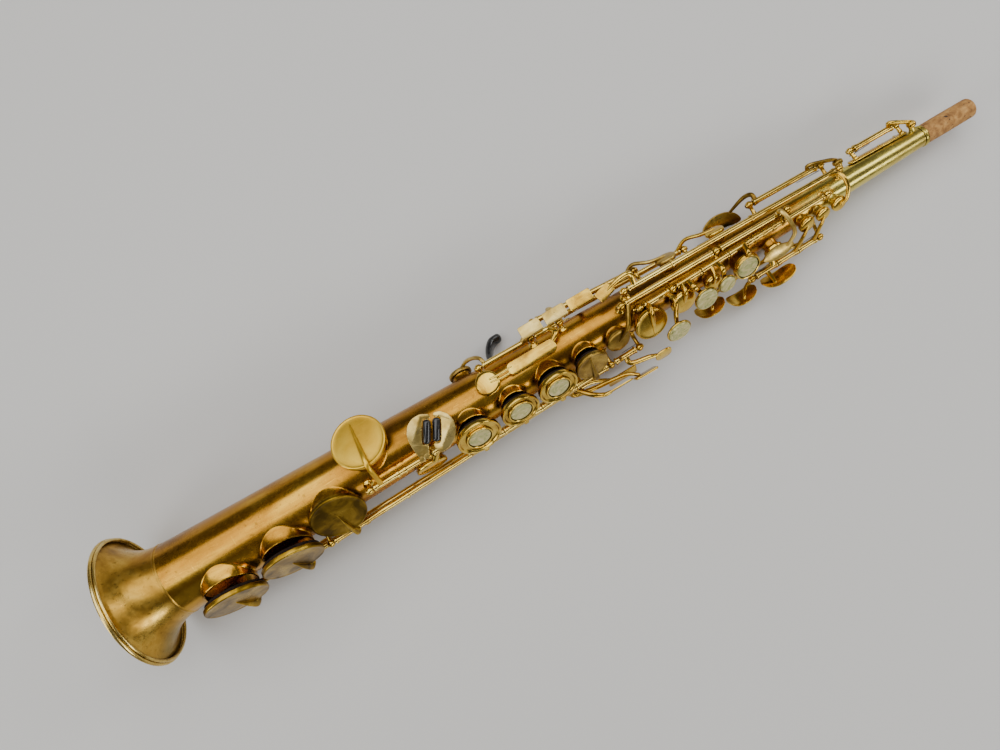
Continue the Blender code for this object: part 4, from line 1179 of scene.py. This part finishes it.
# The touches on arms: their bars from the hinge tube (station, points, radii, sides, width), and the
# function and the numbers of the plate
TOUCHES = {
    "low_c_sharp_key": (
        [(310, [(318, -36, -5), (325, -40.3, -6), (330, -41, -6)], [1.9, 1.6, 1.4, 1.0], 16, 1.2)],
        flat_touch, (335, -41, -6.5, 23, 11, 84)),
    "low_b_key": (
        [(308, [at(309, 117, 35.5), (322, -34, -13.5), (345, -36.5, -12.5), (353, -40.5, -9)],
          [1.9, 1.7, 1.6, 1.5, 1.1], 16, 1.1)],
        flat_touch, (357, -41.5, -6.5, 17, 11, 84)),
    "low_b_flat_key": (
        [(307, [at(308, 126, 37), (324, -30.5, -22.5), (338, -36.5, -20.5)], [1.9, 1.7, 1.6, 1.1], 16, 1.1)],
        flat_touch, (345, -37.5, -20, 22, 9, 50)),
    "g_sharp_lever": (
        [(349, [at(350, 88, 31), (362, -33.5, 2.5), (369, -36, 1.5)], [1.8, 1.6, 1.5, 1.1], 16, 1.1),
         (345, [at(345, 74, 26.5)], [1.6, 1.0], 14)],
        flat_touch, (371.5, -36.6, 1, 12, 10, 60, 0, 4)),
    "e_flat_trill_key": (
        [(294, [(297, 18.5, 17.2), (301, 20.8, 18.0)], [1.8, 1.5, 1.0], 16, 1.3)],
        flat_touch, (302.5, 21.4, 18.5, 15, 8.6, -6, 0, 1.2)),
    "side_b_flat_key": (
        [(320, [(320, 26.4, 8), (320.3, 25.2, 14), (320.5, 22.5, 18.0)], [1.8, 1.6, 1.5, 1.0], 16, 1.3)],
        flat_touch, (320.5, 21.4, 18.2, 15.6, 8.6, -6, 0, 1.2)),
    "side_c_key": (
        [(338, [(338, 19.0, 2), (338.3, 19.6, 12), (338.5, 20, 18.0)], [1.7, 1.4, 1.4, 1.0], 16, 1.3)],
        flat_touch, (338.8, 21.2, 18.2, 17, 8.4, -6, 0, 1.2)),
    "high_e_key": (
        [(374, [(374, 19.5, 19.5), (366, 20.0, 20.0), (356, 17.5, 19.5)], [1.8, 1.6, 1.5, 1.0], 16, 1.2)],
        flat_touch, (354.4, 17.2, 19.8, 12, 7.5, -6, 16, 1.2)),
    "palm_d_key": (
        [(461, [(462.5, -29, -6), (463, -34.2, -6)], [1.8, 1.6, 1.1], 16)],
        palm_plate, (454, 480, -31.5, -6, 3.6, 12, 50)),
    "palm_e_flat_key": (
        [(476, [(470, -23.5, -16.0), (450, -27, -17.0), (442, -33.6, -13)], [1.7, 1.5, 1.4, 1.0], 16)],
        palm_plate, (430, 452, -30.5, -12, 4.2, 12, 50)),
    "palm_f_key": (
        [(493, [(487, -20, -17.0), (434, -20, -21.5), (419, -29.0, -13)], [1.7, 1.5, 1.4, 1.0], 16)],
        palm_plate, (407, 429, -26.5, -12, 3.8, 12, 50)),
}


def fork_e_flat_extras(shape, key):
    bend(shape, key, 313, [(315, 11.5, 18.5), (308, 6.5, 20.6)], [1.7, 1.6, 1.2], 16, 1.3)
    flat_touch(shape, 294, 5.6, 21.2, 34, 8.4, tilt=-8, corner=3, thickness=2.2)
    top = cup_base(key) + CUP_THICKNESS
    for offset in (-1.3, 1.3):
        shape.bar([across(280, 5.6 + offset, 21.2), across(271, 5.4 + offset, 22.4),
                   at(264, -15 - offset * 2, top)], [1.0, 0.95, 0.6], 12)


def front_f_extras(shape, key):
    leaf = [(-12.5, -0.5), (-8, -3.8), (-1, -5.0), (6, -4.4), (12, -1.0), (11.5, 1.6), (4, 4.0), (-2, 4.5),
            (-8, 3.0)]
    place = Matrix.Translation(at(466, 50, 22.0)) @ facing(radial(28))
    shape.plate(smooth_outline(leaf), TOUCH_THICKNESS, place, edge=0.5)
    points = [at(477.5, -13, 21.3), at(479, 6, 22.0), at(479, 30, 23.0), at(473, 47, 22.4)]
    bend(shape, key, 477, points, [1.6, 1.4, 1.3, 1.2, 0.8], 14, 1.2)


def octave_thumb_extras(shape, key):
    crescent = [(-15.5, -1.5), (-12, 3.5), (-4, 6.5), (6, 5.5), (13, 1), (15.5, -5.5), (11, -6.5), (2, -4.5),
                (-8, -4.0)]
    place = Matrix.Translation(across(455, 18.8, -15.5)) @ Matrix.Rotation(math.radians(15), 4, "X")
    shape.plate(smooth_outline(crescent), 1.6, place, edge=0.6)
    bend(shape, key, 477, [at(477, -93, 24), (473, 25, -7.0), (464, 21.5, -14.8)], [1.7, 1.6, 1.5, 1.0], 16)


EXTRAS = {
    "low_c_key": heart_left,
    "low_e_flat_key": heart_right,
    "fork_e_flat_key": fork_e_flat_extras,
    "front_f_key": front_f_extras,
    "octave_thumb_key": octave_thumb_extras,
}
# The finish of each key's body and the slot of the key, where they aren't the common ones
LOOKS = {
    "low_b_flat_key": (OLIVE, "tarnished_brass"),
    "low_b_key": (OLIVE, "tarnished_brass"),
    "low_c_sharp_key": (OLIVE, "tarnished_brass"),
    "low_c_key": (SATIN, "bright_brass"),
    "low_e_flat_key": (KEYS_BRASS, "bright_brass"),
    "g_sharp_key": (BROWN, "aged_brass"),
    "f_sharp_key": (BROWN, "aged_brass"),
    "e_flat_trill_key": (NICKEL, "nickel_plate"),
    "side_b_flat_key": (NICKEL, "nickel_plate"),
    "front_f_key": (NICKEL, "nickel_plate"),
    "octave_thumb_key": (BROWN, "aged_brass"),
}
HEART_KEYS = ("low_c_key", "low_e_flat_key")
NICKEL_TOUCHES = (*HEART_KEYS, "e_flat_trill_key", "side_b_flat_key")
# Keys whose pads are nodes of their own in the CAD
PADS = {"low_b_flat_key": ["low_b_flat_pad"], "low_b_key": ["low_b_pad"]}
# Stations of the extra collars on the long hinge tubes, and whether they are grooved
COLLARS = {
    "low_c_sharp_key": ((150.5, True), (181, False), (238, False)),
    "low_b_key": ((187, False), (262, False)),
    "low_c_key": ((191, False), (186, False)),
    "b_key": ((451, True), (456, True), (463, True), (470, True), (477, False)),
    "side_b_flat_key": ((330, False),),
    "high_e_key": ((402, False), (462, False)),
}


def pearl_of(key):
    """The key's finger pearl, or None."""
    if key.name in SIDE_PEARLS:
        (u, angle, rho), radius = SIDE_PEARLS[key.name]
        return pearl_shape(at(u, angle, rho + 0.9), radial(angle), radius)
    if key.pearl:
        u, angle, _ = key.cup
        return pearl_shape(at(u, angle, cup_base(key) + 1.6), radial(angle), key.pearl)
    return None


def make_key(key):
    turn = rest_turn(key)
    finish, slot = LOOKS.get(key.name, (KEYS_BRASS, "aged_brass"))
    tube = Shape()
    hinge_tube(tube, key)
    for u, knurled in COLLARS.get(key.name, ()):
        collar(tube, key.rod, u, knurled)
    piece(key.name + "_tube", tube.grow(turn), ROD_BRASS, key.name)
    body = Shape()
    touch = Shape()
    if key.cup:
        cup_shape(body, key)
        if key.arm_u is not None:
            cup_arm(body, key)
        pads = PADS.get(key.name, ())
        piece(key.name + "_felt", pad_shape(key).grow(turn), PAD, key.name, pads)
    if key.name in SIDE_PEARLS:
        pearl_holder(body, key)
    pearl = pearl_of(key)
    if pearl:
        node = key.name.replace("_key", "_pearl")
        piece(node + "_disc", pearl.grow(turn), PEARL, key.name, [node])
    if key.name in EXTRAS:
        EXTRAS[key.name](touch if key.name in HEART_KEYS else body, key)
    if key.name in TOUCHES:
        bars, plate, numbers = TOUCHES[key.name]
        for each in bars:
            bend(touch, key, *each)
        plate(touch, *numbers)
    if len(touch.mesh.verts):
        touch_finish = NICKEL if key.name in NICKEL_TOUCHES else KEYS_BRASS
        piece(key.name + "_touch", touch.grow(turn), touch_finish, key.name)
    if len(body.mesh.verts):
        piece(key.name + "_body", body.grow(turn), finish, key.name, [key.name])
    else:
        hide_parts(key.name)


def make_rollers():
    for name, (owner, _) in ROLLERS.items():
        shape = roller_shape(name).grow(rest_turn(KEY[owner]))
        piece(name + "_barrel", shape, BLACK, name, [name])


# The needle springs: the rod and station of the post, the length and way along the tube, and the side
SPRINGS = (
    ("upper_stack_rod", 393, 15, 1), ("upper_stack_rod", 512, -18, 1), ("g_sharp_rod", 430, -16, -1),
    ("high_e_rod", 529, -20, -1), ("high_e_rod", 366, 18, -1), ("lower_stack_rod", 338, -14, 1),
    ("lower_stack_rod", 360, -12, 1), ("palm_rod", 504, -14, 1), ("palm_rod", 450, 12, 1),
    ("side_b_flat_rod", 409, -16, -1), ("side_c_rod", 447, -16, -1), ("octave_rod", 523, -16, -1),
    ("fork_trill_rod", 300, -14, -1), ("c_e_flat_rod", 166, 20, 1), ("low_b_rod", 88, 22, 1),
    ("low_b_flat_rod", 52, 20, 1), ("low_c_sharp_rod", 124, 20, 1), ("neck_octave_rod", 548, 14, -1),
)


def make_springs():
    """Thin blued wires, each from a post to a catch on its key."""
    wires = Shape()
    for rod, post, reach, side in SPRINGS:
        centre = on_rod(rod, post)
        outward = centre - at(post, 0, 0)
        outward.normalize()
        aside = outward.cross(AXIS) * side
        start = centre - outward * 2.9 * MM
        end = start + AXIS * reach * MM + aside * 0.4 * MM + outward * 0.5 * MM
        wires.bar([start - AXIS * math.copysign(1.6, reach) * MM, start, end], [0.3, 0.3, 0.2], 8)
    piece("needle_springs", wires, STEEL)


# Room, lights and camera

# The floor rises towards the neck end, and starts just under the bell rim. In metres
FLOOR_SLOPE = 0.0419
FLOOR_SIZE = 6.0
FLOOR_DROP = 0.0001
LIGHTS_AIM = (0, 0, 0.03)
# The camera's lean from straight down, the tube's slant across the view, and a slight roll
CAMERA_LEAN = math.radians(2.4)
CAMERA_TURN = math.atan2(500, 835)
CAMERA_ROLL = 0.0041
# Where the bell face is from the camera: to its right, below and ahead, in metres
BELL_IN_VIEW = (-0.2718, 0.0061, 0.4673)
SENSOR_WIDTH = 36
FOCAL_LENGTH = 26.46


def make_room():
    size = FLOOR_SIZE
    mesh = bpy.data.meshes.new("floor")
    corners = [(-size, -size), (size, -size), (size, size), (-size, size)]
    spots = [(x, y, (x + LENGTH * MM / 2) * FLOOR_SLOPE - FLOOR_DROP) for x, y in corners]
    mesh.from_pydata(spots, [], [(0, 1, 2, 3)])
    floor = bpy.data.objects.new("floor", mesh)
    bpy.context.scene.collection.objects.link(floor)
    paint = Paint("pale_floor")
    mesh.materials.append(paint.finish((0.62, 0.61, 0.59), 0.75))
    world = bpy.data.worlds.new("studio")
    world.use_nodes = True
    sky = world.node_tree.nodes["Background"].inputs
    sky["Color"].default_value = (0.64, 0.62, 0.58, 1)
    sky["Strength"].default_value = 0.18
    bpy.context.scene.world = world
    add_light("key_light", (-0.15, 0.50, 1.15), (2.0, 1.2), 18)
    add_light("fill_light", (0.30, -1.0, 0.70), (1.6, 0.30), 8)
    add_light("end_light", (1.1, 0.2, 0.7), (0.35, 0.8), 4)
    add_light("bell_light", (-1.2, -0.1, 0.5), (0.35, 0.8), 4)


def add_light(name, spot, size, power):
    data = bpy.data.lights.new(name, "AREA")
    data.shape = "RECTANGLE"
    data.size, data.size_y = size
    data.energy = power
    light = bpy.data.objects.new(name, data)
    bpy.context.scene.collection.objects.link(light)
    light.location = spot
    light.rotation_euler = (Vector(LIGHTS_AIM) - light.location).to_track_quat("-Z", "Y").to_euler()


def make_camera():
    """Looks straight down on the floor, with the tube running up to the right of the view."""
    lean, turn = CAMERA_LEAN, CAMERA_TURN
    right = Vector((math.cos(lean), 0, math.sin(lean)))
    down = Vector((0, -1, 0))
    ahead = Vector((math.sin(lean), 0, -math.cos(lean)))
    bell = Vector((-LENGTH / 2, 0, BELL_RADIUS)) * MM
    place = bell - (right * BELL_IN_VIEW[0] + down * BELL_IN_VIEW[1] + ahead * BELL_IN_VIEW[2])
    right, down = right - down * CAMERA_ROLL, down + right * CAMERA_ROLL
    view_right = right * math.cos(turn) + down * math.sin(turn)
    view_down = right * -math.sin(turn) + down * math.cos(turn)
    data = bpy.data.cameras.new("view")
    data.sensor_width = SENSOR_WIDTH
    data.lens = FOCAL_LENGTH
    data.clip_start = 0.01
    camera = bpy.data.objects.new("view", data)
    bpy.context.scene.collection.objects.link(camera)
    axes = Matrix((view_right, -view_down, -ahead)).transposed().to_4x4()
    camera.matrix_world = Matrix.Translation(place) @ axes
    bpy.context.scene.camera = camera


make_bell()
make_tube()
make_chimneys()
make_posts()
make_neck_end()
make_back_fittings()
for key in KEYS:
    make_key(key)
make_rollers()
make_springs()
make_room()
make_camera()
